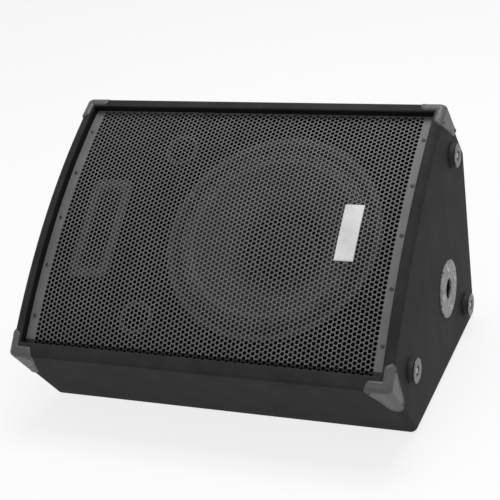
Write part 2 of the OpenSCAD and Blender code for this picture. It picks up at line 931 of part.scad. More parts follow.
module on_rear() {
    translate([0, floor_len / 2, dish_z]) rotate([-90, 0, 0]) rotate(180) children();
}

// Local x runs along the handle, and z out of the left end panel
module at_handle() {
    translate([-body_w / 2, handle_y, handle_z]) rotate([90, 0, -90]) children();
}

module at_rim_screws(w, h, rim) {
    for (x = [-1, 1], y = [-1, 1])
        translate([x * (w / 2 + rim / 2), y * (h / 2 - 8), 0]) children();
}

// A cup sunk through a board, with a rim on its face
module cup(w, h, deep, rim) {
    difference() {
        union() {
            linear_extrude(rim_t) round_rect(w + 2 * rim, h + 2 * rim, cup_corner + rim / 2);
            translate([0, 0, -deep]) linear_extrude(deep + 1) round_rect(w, h, cup_corner);
        }
        translate([0, 0, cup_wall - deep]) linear_extrude(deep + rim_t)
            round_rect(w - 2 * cup_wall, h - 2 * cup_wall, cup_corner - cup_wall);
        at_rim_screws(w, h, rim) translate([0, 0, -1]) cylinder(r = small_shank, h = rim_t + 2);
    }
}

module terminal_dish() {
    color([0.15, 0.15, 0.15]) on_rear() difference() {
        cup(dish_w, dish_high, dish_deep, dish_rim);
        at_jacks() translate([0, 0, -dish_deep - 1]) cylinder(r = jack_body_r, h = 10);
    }
}

jack_body_r = jack_d / 2 + 3;
jack_proud = 13;
jack_behind = 22;
jack_flange_t = 2;
module at_jacks() {
    for (x = [-1, 1]) translate([x * jack_pitch / 2, 0, 0]) children();
}

module speaker_sockets() {
    seat = cup_wall - dish_deep;
    color([0.1, 0.1, 0.12]) on_rear() at_jacks() {
        difference() {
            union() {
                translate([0, 0, -dish_deep - jack_behind])
                    cylinder(r = jack_body_r, h = cup_wall + jack_behind + jack_proud);
                translate([0, 0, seat]) cylinder(r = jack_body_r + 3, h = jack_flange_t);
            }
            translate([0, 0, seat - 14]) cylinder(d = jack_d, h = 14 + jack_proud + 1);
        }
        translate([0, 0, seat - 15]) cylinder(d = jack_core, h = 15 + jack_proud - 2);
    }
}

module terminal_screws() {
    color([0.3, 0.3, 0.3]) on_rear() at_rim_screws(dish_w, dish_high, dish_rim)
        translate([0, 0, rim_t]) pan_screw(3.6, 2, small_shank, rim_t + board - 4);
}

module handle_cup() {
    color([0.13, 0.13, 0.13]) at_handle() cup(handle_len, handle_high, handle_deep, handle_rim);
}

module handle_bar() {
    color([0.1, 0.1, 0.1]) at_handle() translate([0, 0, -bar_d / 2 - 1]) rotate([0, 90, 0])
        cylinder(d = bar_d, h = handle_len - 2 * cup_wall, center = true);
}

module handle_screws() {
    color([0.3, 0.3, 0.3]) at_handle() at_rim_screws(handle_len, handle_high, handle_rim)
        translate([0, 0, rim_t]) pan_screw(3.6, 2, small_shank, rim_t + board - 4);
}

// ---- Lining ----

pad_t = 20;
module lining_pads() {
    x1 = inner_w / 2 - 6;
    rear = floor_len / 2 - board;
    color([0.25, 0.25, 0.27]) {
        translate([30, 0, board]) cube([x1 - 30, rear - pad_t - 5, pad_t]);
        translate([dish_w / 2 + 20, rear - pad_t, board + 5])
            cube([x1 - dish_w / 2 - 20, pad_t, 230]);
        on_front() translate([vent_x, front_len - board - pad_t, -baffle_back - cleat_w - 75])
            cube([x1 - vent_x, pad_t, 70]);
    }
}

// ---- Wires ----

// Place in X, Y and Z of a point in front coordinates
function front_place(x, s, n) = concat([x], brow + s * up_slope + n * off_slope);

wire_r = 3;
wire_gap = 0.2;
net_place = [net_x, net_y, net_top];
socket_end = [jack_pitch / 2, floor_len / 2 - dish_deep - jack_behind - wire_gap, dish_z];
basket_side = front_place(woofer_x, front_mid - basket_r - wire_gap, ledge_z - 7 - baffle_drop);
driver_back = front_place(horn_x, front_mid, driver_seat - cover_h - wire_gap - baffle_drop);
input_route = [socket_end, socket_end + [0, -13, 0], socket_end + [-14, -33, -18],
    net_place + [65, 90, 62], net_place + [41, 54, 34], net_place + [35, 42, 22],
    net_place + [35, 40, 0]];
woofer_route = [net_place + [9, -32, 0], net_place + [9, -33, 24], net_place + [31, -40, 48],
    net_place + [75, -54, 58], basket_side + [-41, 11, -59], basket_side + [-11, -15, -37],
    basket_side + [0, -19, -19], basket_side];
horn_route = [net_place + [-1, -2, 0], net_place + [-2, -1, 24], net_place + [-33, 10, 48],
    net_place + [-75, 26, 64], driver_back + [66, 34, -81], driver_back + [24, 32, -53],
    driver_back + [4, 20, -33], driver_back + [0, 11, -15], driver_back];

function spline(a, b, c, d, t) = 0.5 * (2 * b + t * (c - a) + t * t * (2 * a - 5 * b + 4 * c - d)
    + t * t * t * (3 * b - a - 3 * c + d));
// Points of a smooth curve through p, n to each stretch
function smooth(p, n) = concat([for (i = [0:len(p) - 2], k = [0:n - 1])
    spline(p[max(i - 1, 0)], p[i], p[i + 1], p[min(i + 2, len(p) - 1)], k / n)],
    [p[len(p) - 1]]);
function heading(q, i) = unit(q[min(i + 1, len(q) - 1)] - q[max(i - 1, 0)]);
// Side directions carried along the curve without twisting
function carry(q, i) = let (t = heading(q, i),
    v = i == 0 ? [1, 0, 0.3] : carry(q, i - 1)) unit(v - (v * t) * t);

module wire(route) {
    sides = 8;
    q = smooth(route, 3);
    rings = len(q);
    points = [for (i = [0:rings - 1]) let (t = heading(q, i), u = carry(q, i), w = cross(t, u))
        for (k = [0:sides - 1]) q[i] + wire_r * (cos(360 * k / sides) * u
            + sin(360 * k / sides) * w)];
    skin = [for (i = [0:rings - 2], k = [0:sides - 1]) let (j = (k + 1) % sides)
        [i * sides + j, i * sides + k, (i + 1) * sides + k, (i + 1) * sides + j]];
    first = [for (k = [0:sides - 1]) k];
    end = [for (k = [sides - 1:-1:0]) (rings - 1) * sides + k];
    color([0.1, 0.1, 0.1]) polyhedron(points, concat(skin, [first, end]));
}

module input_wires() { wire(input_route); }
module woofer_wires() { wire(woofer_route); }
module horn_wires() { wire(horn_route); }

right_end_panel();
left_end_panel();
kick_panel();
floor_panel();
rear_panel();
top_panel();
window_brace();
baffle();
baffle_cleats();
grille();
grille_rails();
grille_tapes();
grille_screws();
badge_plate();
corner_lower_right();
corner_lower_left();
corner_upper_right();
corner_upper_left();
corner_screws();
foot_lower();
foot_upper();
foot_rear();
foot_caps();
foot_screws();
pole_socket();
pole_socket_screws();
woofer_frame();
woofer_gasket();
woofer_surround();
woofer_cone();
woofer_dust_cap();
voice_coil();
woofer_spider();
woofer_top_plate();
woofer_magnet();
woofer_yoke();
woofer_screws();
horn_flare();
horn_screws();
driver_front_plate();
driver_magnet();
driver_rear_plate();
driver_clamp_ring();
driver_diaphragm();
driver_cover();
port_tube_upper();
port_tube_lower();
crossover_board();
crossover_coils();
crossover_capacitors();
terminal_dish();
speaker_sockets();
terminal_screws();
woofer_wires();
horn_wires();
input_wires();
handle_cup();
handle_bar();
handle_screws();
lining_pads();
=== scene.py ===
"""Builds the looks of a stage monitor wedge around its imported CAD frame.

Lengths are in metres. The row frame has X across the cabinet, Y from front to back and Z up.
Front coordinates (x, s, n) are used for the sloping front: s runs up the slope from the kick
panel's face, and n stands square to the slope, outwards.
"""

import math

import bmesh
import bpy
import numpy as np
from bpy.props import FloatProperty, FloatVectorProperty, IntProperty, PointerProperty
from mathutils import Matrix, Vector


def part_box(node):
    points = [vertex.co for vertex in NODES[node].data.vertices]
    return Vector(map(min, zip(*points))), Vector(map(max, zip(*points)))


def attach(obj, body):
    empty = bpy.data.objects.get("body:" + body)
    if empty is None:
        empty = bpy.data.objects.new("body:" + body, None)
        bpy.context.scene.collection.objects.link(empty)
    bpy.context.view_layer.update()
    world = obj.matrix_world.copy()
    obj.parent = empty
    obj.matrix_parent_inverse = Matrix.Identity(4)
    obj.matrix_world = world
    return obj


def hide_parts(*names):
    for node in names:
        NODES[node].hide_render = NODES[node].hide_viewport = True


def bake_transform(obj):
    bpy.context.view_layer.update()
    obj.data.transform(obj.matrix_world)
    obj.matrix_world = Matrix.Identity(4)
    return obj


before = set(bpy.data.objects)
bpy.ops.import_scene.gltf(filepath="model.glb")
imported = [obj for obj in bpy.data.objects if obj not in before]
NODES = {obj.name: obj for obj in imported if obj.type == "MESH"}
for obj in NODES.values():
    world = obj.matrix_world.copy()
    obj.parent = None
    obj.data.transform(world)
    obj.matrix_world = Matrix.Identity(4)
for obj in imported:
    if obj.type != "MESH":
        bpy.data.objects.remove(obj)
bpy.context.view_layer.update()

bl_info = {
    "name": "Stage Monitor Wedge",
    "version": (1, 0, 0),
    "blender": (4, 5, 0),
    "location": "View3D > Sidebar > Wedge",
    "description": "Builds a stage monitor wedge with a bowed perforated front",
    "category": "Add Mesh",
}

# ---- Sizes that the CAD frame fixes ----

X_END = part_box("right_end_panel")[1].x
X_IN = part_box("right_end_panel")[0].x
LENGTH = 0.528
TILT = math.radians(36)
KICK = 0.189
TOP = 0.155
BOARD = 0.018
KICK_BOARD = 0.024
BOW = 0.029
RECESS = 0.016
SHEET = 0.0012
BAFFLE_DROP = 0.025
FRONT_MID = (KICK_BOARD + LENGTH - BOARD) / 2

UP = np.array([math.cos(TILT), math.sin(TILT)])
OFF = np.array([-math.sin(TILT), math.cos(TILT)])
SLOPE_UP = (0, UP[0], UP[1])
SLOPE_OFF = (0, OFF[0], OFF[1])
SLOPE_AXES = ((1, 0, 0), SLOPE_UP, SLOPE_OFF)
FLOOR = LENGTH * UP[0] + (TOP - KICK) * UP[1]
TOE = np.array([-FLOOR / 2, 0.0])
BROW = TOE + KICK * OFF
CREST = BROW + LENGTH * UP
SHOULDER = CREST - TOP * OFF
HEEL = np.array([SHOULDER[0], 0.0])
BOW_RADIUS = ((LENGTH / 2) ** 2 + BOW**2) / (2 * BOW)
BOW_CENTRE = BROW + LENGTH / 2 * UP + (BOW - BOW_RADIUS) * OFF

WOOFER_X = 0.083
HORN_X = -0.256
VENT_X = -0.137
PORT_REACH = 0.168
POLE_SPOT = (0.034, 0.146)
FOOT_SPOTS = {
    "lower": BROW + 0.072 * UP - 0.083 * OFF,
    "upper": CREST - 0.053 * UP - 0.083 * OFF,
    "rear": HEEL + np.array([-0.067, 0.056]),
}
DISH_Z = 0.150
HANDLE_SPOT = (0.092, 0.160)

CABINET, CONE = "cabinet", "cone_assembly"
FINISHES = {}


# ---- Places and frames ----


def front(x, s, n):
    """Points of the row frame from front coordinates: s along the slope and n along its normal."""
    x, s, n = np.broadcast_arrays(x, s, n)
    y = BROW[0] + s * UP[0] + n * OFF[0]
    z = BROW[1] + s * UP[1] + n * OFF[1]
    return np.stack([x, y, z], axis=-1)


def bow_at(s, drop=0.0):
    """Height over the chord of the surface that lies drop below the bow. It is a circle's height over its
    centre, which is sunk by the bow's radius less its rise."""
    return np.sqrt((BOW_RADIUS - drop) ** 2 - (s - LENGTH / 2) ** 2) - BOW_RADIUS + BOW


def axes(origin, ex, ey, ez):
    """A frame as a 4 by 3 array: its origin and its three directions."""
    return np.array([origin, ex, ey, ez], float)


def stand(local, place):
    """Local points carried into a frame: the origin plus each coordinate times its direction."""
    return place[0] + local @ place[1:]


def copies(place, spots):
    """The frame moved to each of some points of its own."""
    return [axes(stand(np.array(spot), place), *place[1:]) for spot in spots]


def on_baffle(x, s):
    return axes(front(x, s, -BAFFLE_DROP), *SLOPE_AXES)


def on_right_end(spot, lift=0.0):
    return axes((X_END + lift, *spot), (0, 0, -1), (0, 1, 0), (1, 0, 0))


def on_left_end(spot):
    return axes((-X_END, *spot), (0, -1, 0), (0, 0, 1), (-1, 0, 0))


def on_rear():
    return axes((0, FLOOR / 2, DISH_Z), (-1, 0, 0), (0, 0, 1), (0, 1, 0))


def on_bow(x, s, drop):
    """A frame on a bowed surface, its third direction along the surface's normal."""
    lean = math.asin((s - LENGTH / 2) / BOW_RADIUS)
    reach = BOW_RADIUS - drop
    place = front(x, LENGTH / 2 + reach * math.sin(lean), BOW - BOW_RADIUS + reach * math.cos(lean))
    normal = math.sin(lean) * UP + math.cos(lean) * OFF
    along = math.cos(lean) * UP - math.sin(lean) * OFF
    return axes(place, (1, 0, 0), (0, *along), (0, *normal))


# ---- Mesh building ----


def grid_quads(rows, cols, wrap_rows, wrap_cols):
    """Corner numbers of the quads between neighbouring points of a grid, joined up where it wraps."""
    i = np.arange(rows if wrap_rows else rows - 1)[:, None]
    j = np.arange(cols if wrap_cols else cols - 1)[None, :]
    i2, j2 = (i + 1) % rows, (j + 1) % cols
    corners = np.broadcast_arrays(i * cols + j, i * cols + j2, i2 * cols + j2, i2 * cols + j)
    return np.stack(corners, axis=-1).reshape(-1, 4)


class Shell:
    """Points and faces gathered for one mesh."""

    def __init__(self):
        self.points, self.faces, self.count = [], [], 0

    def add(self, points, faces):
        points = np.asarray(points, float).reshape(-1, 3)
        self.points.append(points)
        self.faces.extend((np.asarray(faces) + self.count).tolist())
        self.count += len(points)

    def grid(self, points, wrap_rows=False, wrap_cols=False, caps=False):
        rows, cols = points.shape[:2]
        start = self.count
        self.add(points, grid_quads(rows, cols, wrap_rows, wrap_cols))
        if caps:
            self.faces.append(list(range(start + cols - 1, start - 1, -1)))
            self.faces.append(list(range(start + (rows - 1) * cols, start + rows * cols)))
        return self

    def build(self, name, finish, slot, body=CABINET, replaces=(), crease=32):
        """Makes the mesh, closes its seams and poles, turns its faces outwards and sets it on its body."""
        mesh = bpy.data.meshes.new(name)
        mesh.from_pydata(np.vstack(self.points), [], self.faces)
        work = bmesh.new()
        work.from_mesh(mesh)
        bmesh.ops.remove_doubles(work, verts=work.verts, dist=2e-6)
        bmesh.ops.recalc_face_normals(work, faces=work.faces)
        work.to_mesh(mesh)
        work.free()
        mesh.polygons.foreach_set("use_smooth", np.ones(len(mesh.polygons), bool))
        mesh.set_sharp_from_angle(angle=math.radians(crease))
        mesh.materials.append(FINISHES[finish])
        piece = bpy.data.objects.new(name, mesh)
        bpy.context.scene.collection.objects.link(piece)
        if body:
            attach(piece, body)
        if replaces:
            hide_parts(*replaces)
        return piece


def turned(profile, sides):
    """A profile of (radius, height) turned round the third axis: radius times cosine and sine of angles."""
    profile = np.asarray(profile, float)
    angle = np.arange(sides) * 2 * math.pi / sides
    r, z = profile[:, :1], profile[:, 1:]
    return np.stack([r * np.cos(angle), r * np.sin(angle), z + 0 * angle], axis=-1)


def lathe(profile, sides, place, closed=True):
    """A shell turned from a profile about a frame's third direction. An open profile ends on the axis."""
    return Shell().grid(stand(turned(profile, sides), place), wrap_rows=closed, wrap_cols=True)


def bend(centre, radius, start, end, steps):
    """An arc of a profile between two angles in degrees: centre plus radius times cosine and sine."""
    angle = np.radians(np.linspace(start, end, steps))
    return np.column_stack([centre[0] + radius * np.cos(angle), centre[1] + radius * np.sin(angle)])


def rounded_loop(x0, x1, y0, y1, r, steps=6):
    """A rectangle with round corners: four quarter arcs, each about a point r inside its corner."""
    centres = ((x1 - r, y1 - r), (x0 + r, y1 - r), (x0 + r, y0 + r), (x1 - r, y0 + r))
    return np.vstack([bend(centre, r, 90 * k, 90 * k + 90, steps) for k, centre in enumerate(centres)])


def flat_ring(loop, height):
    return np.column_stack([loop, np.full(len(loop), height)])


def quarter(steps, start=0, end=90):
    """Angles of a quarter turn, or of the part of it between two angles in degrees."""
    return np.radians(np.linspace(start, end, steps))


# ---- Finishes ----


class Wire:
    """A socket, on which arithmetic adds Math nodes."""

    def __init__(self, nodes, socket):
        self.nodes, self.socket = nodes, socket

    def __add__(self, other):
        return self.nodes.math("ADD", self, other)

    def __sub__(self, other):
        return self.nodes.math("SUBTRACT", self, other)

    def __rsub__(self, other):
        return self.nodes.math("SUBTRACT", other, self)

    def __mul__(self, other):
        return self.nodes.math("MULTIPLY", self, other)

    def __pow__(self, other):
        return self.nodes.math("POWER", self, other)

    def __rpow__(self, other):
        return self.nodes.math("POWER", other, self)

    def __abs__(self):
        return self.nodes.math("ABSOLUTE", self)

    def fold(self, zero, half):
        """Rises from 0 to 1 and falls again over every two halves beyond a zero."""
        return self.nodes.math("PINGPONG", self - zero, half) * (1 / half)

    __radd__ = __add__
    __rmul__ = __mul__


class Nodes:
    """A node tree that is being filled."""

    def __init__(self, tree):
        self.tree = tree

    def add(self, kind, settings=None, inputs=None, output=0):
        """A node of a kind. Its settings are made first, and then its sockets' values or links."""
        node = self.tree.nodes.new(kind)
        for key, value in (settings or {}).items():
            setattr(node, key, value)
        for key, value in (inputs or {}).items():
            self.join(node.inputs[key], value)
        return Wire(self, node.outputs[output])

    def join(self, inlet, value):
        if isinstance(value, Wire):
            self.tree.links.new(value.socket, inlet)
        else:
            inlet.default_value = value

    def math(self, operation, *values):
        return self.add("ShaderNodeMath", {"operation": operation}, dict(enumerate(values)))

    def seen(self):
        """1 on rays from the eye and on those that gloss and glass send on."""
        kinds = ("Is Camera Ray", "Is Glossy Ray", "Is Transmission Ray")
        camera, glossy, through = (self.add("ShaderNodeLightPath", output=kind) for kind in kinds)
        return camera + glossy + through


class Finish(Nodes):
    """A material being made. Constants go on the shader's own sockets."""

    def __init__(self, name, **constants):
        self.material = bpy.data.materials.new(name)
        self.material.use_nodes = True
        super().__init__(self.material.node_tree)
        self.shader = self.tree.nodes["Principled BSDF"]
        for key, value in constants.items():
            self.shader.inputs[key.replace("_", " ")].default_value = value

    def set(self, socket, value):
        self.join(self.shader.inputs[socket], value)
        return self

    def gloss(self, level, smooth, rough):
        """A roughness that runs from smooth to rough with a level."""
        return self.set("Roughness", level * (rough - smooth) + smooth)

    def bump(self, height, depth, strength=1.0):
        sockets = {"Height": height, "Distance": depth, "Strength": strength}
        return self.set("Normal", self.add("ShaderNodeBump", None, sockets))

    def here(self):
        return self.add("ShaderNodeTexCoord", output="Object")

    def place(self, scale, turn=(0, 0, 0)):
        """The piece's own coordinates, stretched and turned."""
        sockets = {"Vector": self.here(), "Scale": scale, "Rotation": turn}
        return self.add("ShaderNodeMapping", {"vector_type": "POINT"}, sockets)

    def noise(self, size, detail=2.0, rough=0.5, where=None):
        """Cloudy noise whose blotches are about size across."""
        sockets = {"Vector": where or self.here(), "Scale": 1 / size, "Detail": detail, "Roughness": rough}
        return self.add("ShaderNodeTexNoise", None, sockets, "Fac")

    def cells(self, size, where=None):
        """Distance to the nearest of scattered points about size apart."""
        sockets = {"Vector": where or self.here(), "Scale": 1 / size}
        return self.add("ShaderNodeTexVoronoi", None, sockets, "Distance")

    def waves(self, direction, scale, **more):
        """Light and dark bands that follow each other along a direction."""
        sockets = {"Vector": self.here(), "Scale": scale, **more}
        return self.add("ShaderNodeTexWave", {"bands_direction": direction}, sockets, "Fac")

    def ramp(self, value, low, high):
        """Value stretched so that low becomes 0 and high becomes 1, and held there."""
        sockets = {"Value": value, "From Min": low, "From Max": high}
        return self.add("ShaderNodeMapRange", {"clamp": True}, sockets, "Result")

    def mottle(self, a, share, b, low=0.35, high=0.65):
        """Pattern a by its share and b by the rest, stretched from low to high."""
        return self.ramp(a * share + b * (1 - share), low, high)

    def vector(self, operation, a, b=(0, 0, 0), output="Value"):
        return self.add("ShaderNodeVectorMath", {"operation": operation}, {0: a, 1: b}, output)

    def along(self, direction, zero=0.0):
        """Distance along a direction in the piece's own coordinates, from a zero."""
        return self.vector("DOT_PRODUCT", self.here(), direction) - zero

    def from_axis(self, point, axis):
        """Distance from an axis: the length of the way from a point on it crossed with its direction."""
        way = self.vector("SUBTRACT", self.here(), tuple(point), "Vector")
        return self.vector("LENGTH", self.vector("CROSS_PRODUCT", way, axis, "Vector"))

    def blend(self, factor, a, b):
        """Colour a where the factor is 0 and b where it is 1."""
        sockets = {"Factor": factor, 6: opaque(a), 7: opaque(b)}
        return self.add("ShaderNodeMix", {"data_type": "RGBA"}, sockets, 2)

    def tones(self, level, colour, low, high):
        """A colour whose shade runs from low to high with a level."""
        return self.blend(level, shade(colour, low), shade(colour, high))


def opaque(colour):
    return colour if isinstance(colour, Wire) else (*tuple(colour)[:3], 1.0)


def shade(colour, by):
    """A colour made lighter or darker by a factor."""
    return tuple(min(1.0, c * by) for c in tuple(colour)[:3])


def grey(level, blue=0.0):
    """A grey, which may be a little bluer."""
    return (level, level, level + blue)


def grained(name, colour, spread, patch, grain, depth, smooth, rough, **constants):
    """A plain finish with soft patches, slightly uneven gloss and a fine grain."""
    f = Finish(name, **constants)
    fine = f.noise(grain)
    level = f.mottle(f.noise(patch, 3.0), 0.7, fine)
    f.set("Base Color", f.tones(level, colour, 1 - spread, 1 + spread))
    f.gloss(level, smooth, rough)
    return f.bump(fine, depth)


def recess_shade_mask(f):
    """Where painted shade goes: 1 on the opening's inner walls below their eased edges, 0 on every other
    face.
    """
    half, hard, soft = FRONT_MID - KICK_BOARD, 0.0004, 0.0016
    edge_high, edge_low, deep_high, deep_low = 0.0015, 0.005, 0.036, 0.04
    across = abs(f.along((1, 0, 0)))
    up = abs(f.along(SLOPE_UP, float(BROW @ UP) + FRONT_MID))
    inside = (1 - f.ramp(across, X_IN + hard, X_IN + soft)) * (1 - f.ramp(up, half + hard, half + soft))
    reach = f.from_axis((0, *BOW_CENTRE), (1, 0, 0))
    below_edge = 1 - f.ramp(reach, BOW_RADIUS - edge_low, BOW_RADIUS - edge_high)
    above_baffle = f.ramp(reach, BOW_RADIUS - deep_low, BOW_RADIUS - deep_high)
    return inside * (below_edge * above_baffle)


def speckled_paint(name, colour):
    """Sprayed textured paint: rounded drops close together, with paler worn tops and soft patches. The
    opening's walls are darkened: painted shade in the recess."""
    f = Finish(name, Specular_IOR_Level=0.08)
    drops = f.ramp(f.cells(0.0017), 0.0, 0.75)
    mist = f.noise(0.0009, 3.0, 0.6)
    cloud = f.noise(0.075, 3.0, 0.55)
    streak = f.noise(0.03, 2.0, 0.5, f.place((1, 1, 0.35)))
    base = f.tones(f.mottle(cloud, 0.55, streak, 0.36, 0.64), colour, 0.82, 1.2)
    tops = (1 - drops) ** 3 * f.ramp(mist, 0.45, 0.7)
    worn = f.blend(tops * 0.5, base, shade(colour, 2.1))
    # Painted shade: the opening's inner walls get a much darker colour.
    f.set("Base Color", f.blend(recess_shade_mask(f), worn, shade(colour, 0.3)))
    f.gloss(mist, 0.6, 0.78)
    return f.bump((1 - drops) * 0.7 + mist * 0.5, 0.00022, 0.9)


def coated_steel(name, colour, painted_shadow_width=0.0):
    """Powder-coated steel: a fine orange peel and a satin gloss. A dark band of some width runs along the
    bottom: a painted shadow where the sheet dips behind the kick panel."""
    f = Finish(name, Specular_IOR_Level=0.3)
    peel = f.noise(0.0022, 2.0, 0.4)
    cloud = f.noise(0.05)
    coat = f.tones(f.mottle(cloud, 0.6, peel), colour, 0.88, 1.14)
    if painted_shadow_width:
        # Painted shadow: the steel turns near black along the bottom, below the kick panel's lip.
        up = f.along(SLOPE_UP, float(BROW @ UP) + KICK_BOARD)
        coat = f.blend(f.ramp(up, painted_shadow_width - 0.002, painted_shadow_width), shade(colour, 0.04), coat)
    f.set("Base Color", coat)
    f.gloss(f.ramp(cloud, 0.3, 0.7), 0.42, 0.54)
    return f.bump(peel, 0.00012, 0.7)


def brushed(name, colour, stretch, smooth, rough):
    """Metal with fine scratches drawn out along one direction, and faint stains."""
    f = Finish(name, Metallic=1.0)
    lines = f.noise(0.0012, 3.0, 0.7, f.place(stretch))
    level = f.mottle(lines, 0.6, f.noise(0.012, 3.0, 0.6))
    f.set("Base Color", f.tones(level, colour, 0.82, 1.1))
    f.gloss(level, smooth, rough)
    return f.bump(lines, 0.00003)


def front_moulding(name, colour):
    """Moulded plastic, mottled on its flange and darkened below the baffle's face: painted shade in the
    throats.
    """
    f = Finish(name, Specular_IOR_Level=0.12)
    below, above = 0.001, 0.0035
    height = f.along(SLOPE_OFF, float(BROW @ OFF))
    flange = f.ramp(height, -BAFFLE_DROP - below, above - BAFFLE_DROP)
    grain = f.noise(0.0012)
    level = f.mottle(f.noise(0.02, 3.0), 0.7, grain)
    # Painted shade: below the flange the plastic is darkened to a tenth of its colour.
    f.set("Base Color", f.blend(flange, shade(colour, 0.1), f.tones(level, colour, 0.8, 1.2)))
    f.gloss(level, 0.5, 0.62)
    return f.bump(grain, 0.00012)


def lined_casting(name, colour, low=-0.0025, high=0.0008):
    """A stained satin casting whose bore is darkened to near black: painted shade in the hollow. Its mouth
    lies between two heights off the end panel.
    """
    f = Finish(name, Specular_IOR_Level=0.2)
    face = f.ramp(f.along((1, 0, 0)), X_END + low, X_END + high)
    lines = f.noise(0.0012, 3.0, 0.7, f.place((1, 1, 0.4)))
    level = f.mottle(f.noise(0.006, 4.0, 0.65), 0.8, lines, 0.4, 0.6)
    # Painted shade: the bore below its mouth is near black.
    f.set("Base Color", f.blend(face, grey(0.004), f.tones(level, colour, 0.35, 1.35)))
    f.set("Metallic", face * 0.9)
    f.gloss(level, 0.4, 0.55)
    return f.bump(lines, 0.00003)


def plywood(name, colour):
    """Birch plywood: thin sheets in pale and darker bands, with a drawn-out grain."""
    f = Finish(name, Roughness=0.7)
    grain = f.noise(0.004, 4.0, 0.6, f.place((1, 1, 0.12)))
    bands = f.waves("Z", 110.0, Distortion=1.2, Detail=1.0)
    f.set("Base Color", f.tones(f.mottle(grain, 0.6, bands, 0.25, 0.75), colour, 0.72, 1.1))
    return f.bump(grain, 0.0002)


def woofer_radius(f):
    return f.from_axis(front(WOOFER_X, FRONT_MID, 0.0), SLOPE_OFF)


def doped_pleats(name, colour):
    """Doped cloth in pleats round the cone: the crests are paler, a painted highlight, and the valleys and
    the outer pleat stay dark, a painted shade.
    """
    f = Finish(name, Specular_IOR_Level=0.6)
    crest_light_fades, crest_light_ends = 0.1655, 0.1685
    r = woofer_radius(f)
    # Painted highlight on the crests; painted shade in the valleys and past the inner pleats.
    crest = r.fold(PLEAT_START, PLEAT_HALF) * (1 - f.ramp(r, crest_light_fades, crest_light_ends))
    worn = f.noise(0.01, 3.0)
    f.set("Base Color", f.tones(crest * 0.85 + worn * 0.3 - 0.1, colour, 0.12, 1.3))
    f.gloss(worn, 0.2, 0.32)
    return f.bump(f.noise(0.001), 0.0001)


def woven(name, colour, thread, smooth, rough, hem=False):
    """Cloth of crossed threads: two sets of bands at right angles. With hem, a pale ring runs round its
    rim as a painted highlight.
    """
    f = Finish(name, Specular_IOR_Level=0.08)
    threads = f.waves("X", 0.16 / thread) * 0.5 + f.waves("Y", 0.16 / thread) * 0.5
    worn = f.noise(0.02, 3.0)
    cloth = f.tones(threads * 0.5 + worn * 0.5, colour, 0.7, 1.25)
    if hem:
        rim_highlight_starts, rim_highlight_full = 0.0535, 0.0555
        # Painted highlight: a pale ring round the dust cap's rim.
        cloth = f.blend(f.ramp(woofer_radius(f), rim_highlight_starts, rim_highlight_full), cloth, shade(colour, 6.5))
    f.set("Base Color", cloth)
    f.gloss(worn, smooth, rough)
    return f.bump(threads, 0.0002, 0.8)


def pressed_paper(name, colour):
    """Pressed cone pulp: long fibres lying all ways, darkened near the neck as painted shade, with a glossy
    lip made pale as a painted highlight.
    """
    f = Finish(name, Specular_IOR_Level=0.1)
    fibres = f.noise(0.0018, 5.0, 0.75, f.place((1, 0.3, 1), (0, 0, 0.6)))
    other = f.noise(0.0018, 5.0, 0.75, f.place((0.3, 1, 1), (0, 0, -0.4)))
    paper = f.tones(f.mottle(fibres, 0.5, other, 0.38, 0.62), colour, 0.75, 1.25)
    neck_shade_full, neck_shade_ends, lip_highlight_starts, lip_highlight_full = 0.064, 0.100, 0.1462, 0.1472
    r = woofer_radius(f)
    # Painted shade: the cone darkens towards its deep neck.
    neck_shaded = f.blend(f.ramp(r, neck_shade_full, neck_shade_ends), shade(colour, 0.08), paper)
    lip = f.ramp(r, lip_highlight_starts, lip_highlight_full)
    # Painted highlight: the lip is made paler; its gloss is real.
    f.set("Base Color", f.blend(lip, neck_shaded, shade(colour, 2.6)))
    f.gloss(lip, 0.7, 0.25)
    return f.bump(fibres + other, 0.00015, 0.8)


def wound_wire(name, colour):
    """Enamelled copper turns: fine bands, one for each turn."""
    f = Finish(name, Metallic=0.9, Roughness=0.3)
    turns = f.waves("Z", 260.0)
    f.set("Base Color", f.tones(turns * 0.7 + f.noise(0.006) * 0.3, colour, 0.55, 1.15))
    return f.bump(turns, 0.0003)


def etched_board(name, colour):
    """A circuit board: a green mask with paler copper runs beneath it."""
    f = Finish(name, Roughness=0.4)
    runs = f.ramp(f.cells(0.012, f.place((1, 0.5, 1))), 0.42, 0.47)
    f.set("Base Color", f.tones(runs, colour, 1.5, 1.0))
    return f.bump(runs, 0.0001)


def matted_fibre(name, colour):
    """Lining felt: deep tangled fibres."""
    f = Finish(name, Roughness=0.95)
    tangle = f.noise(0.004, 6.0, 0.8)
    f.set("Base Color", f.tones(tangle, colour, 0.5, 1.4))
    return f.bump(tangle, 0.002)


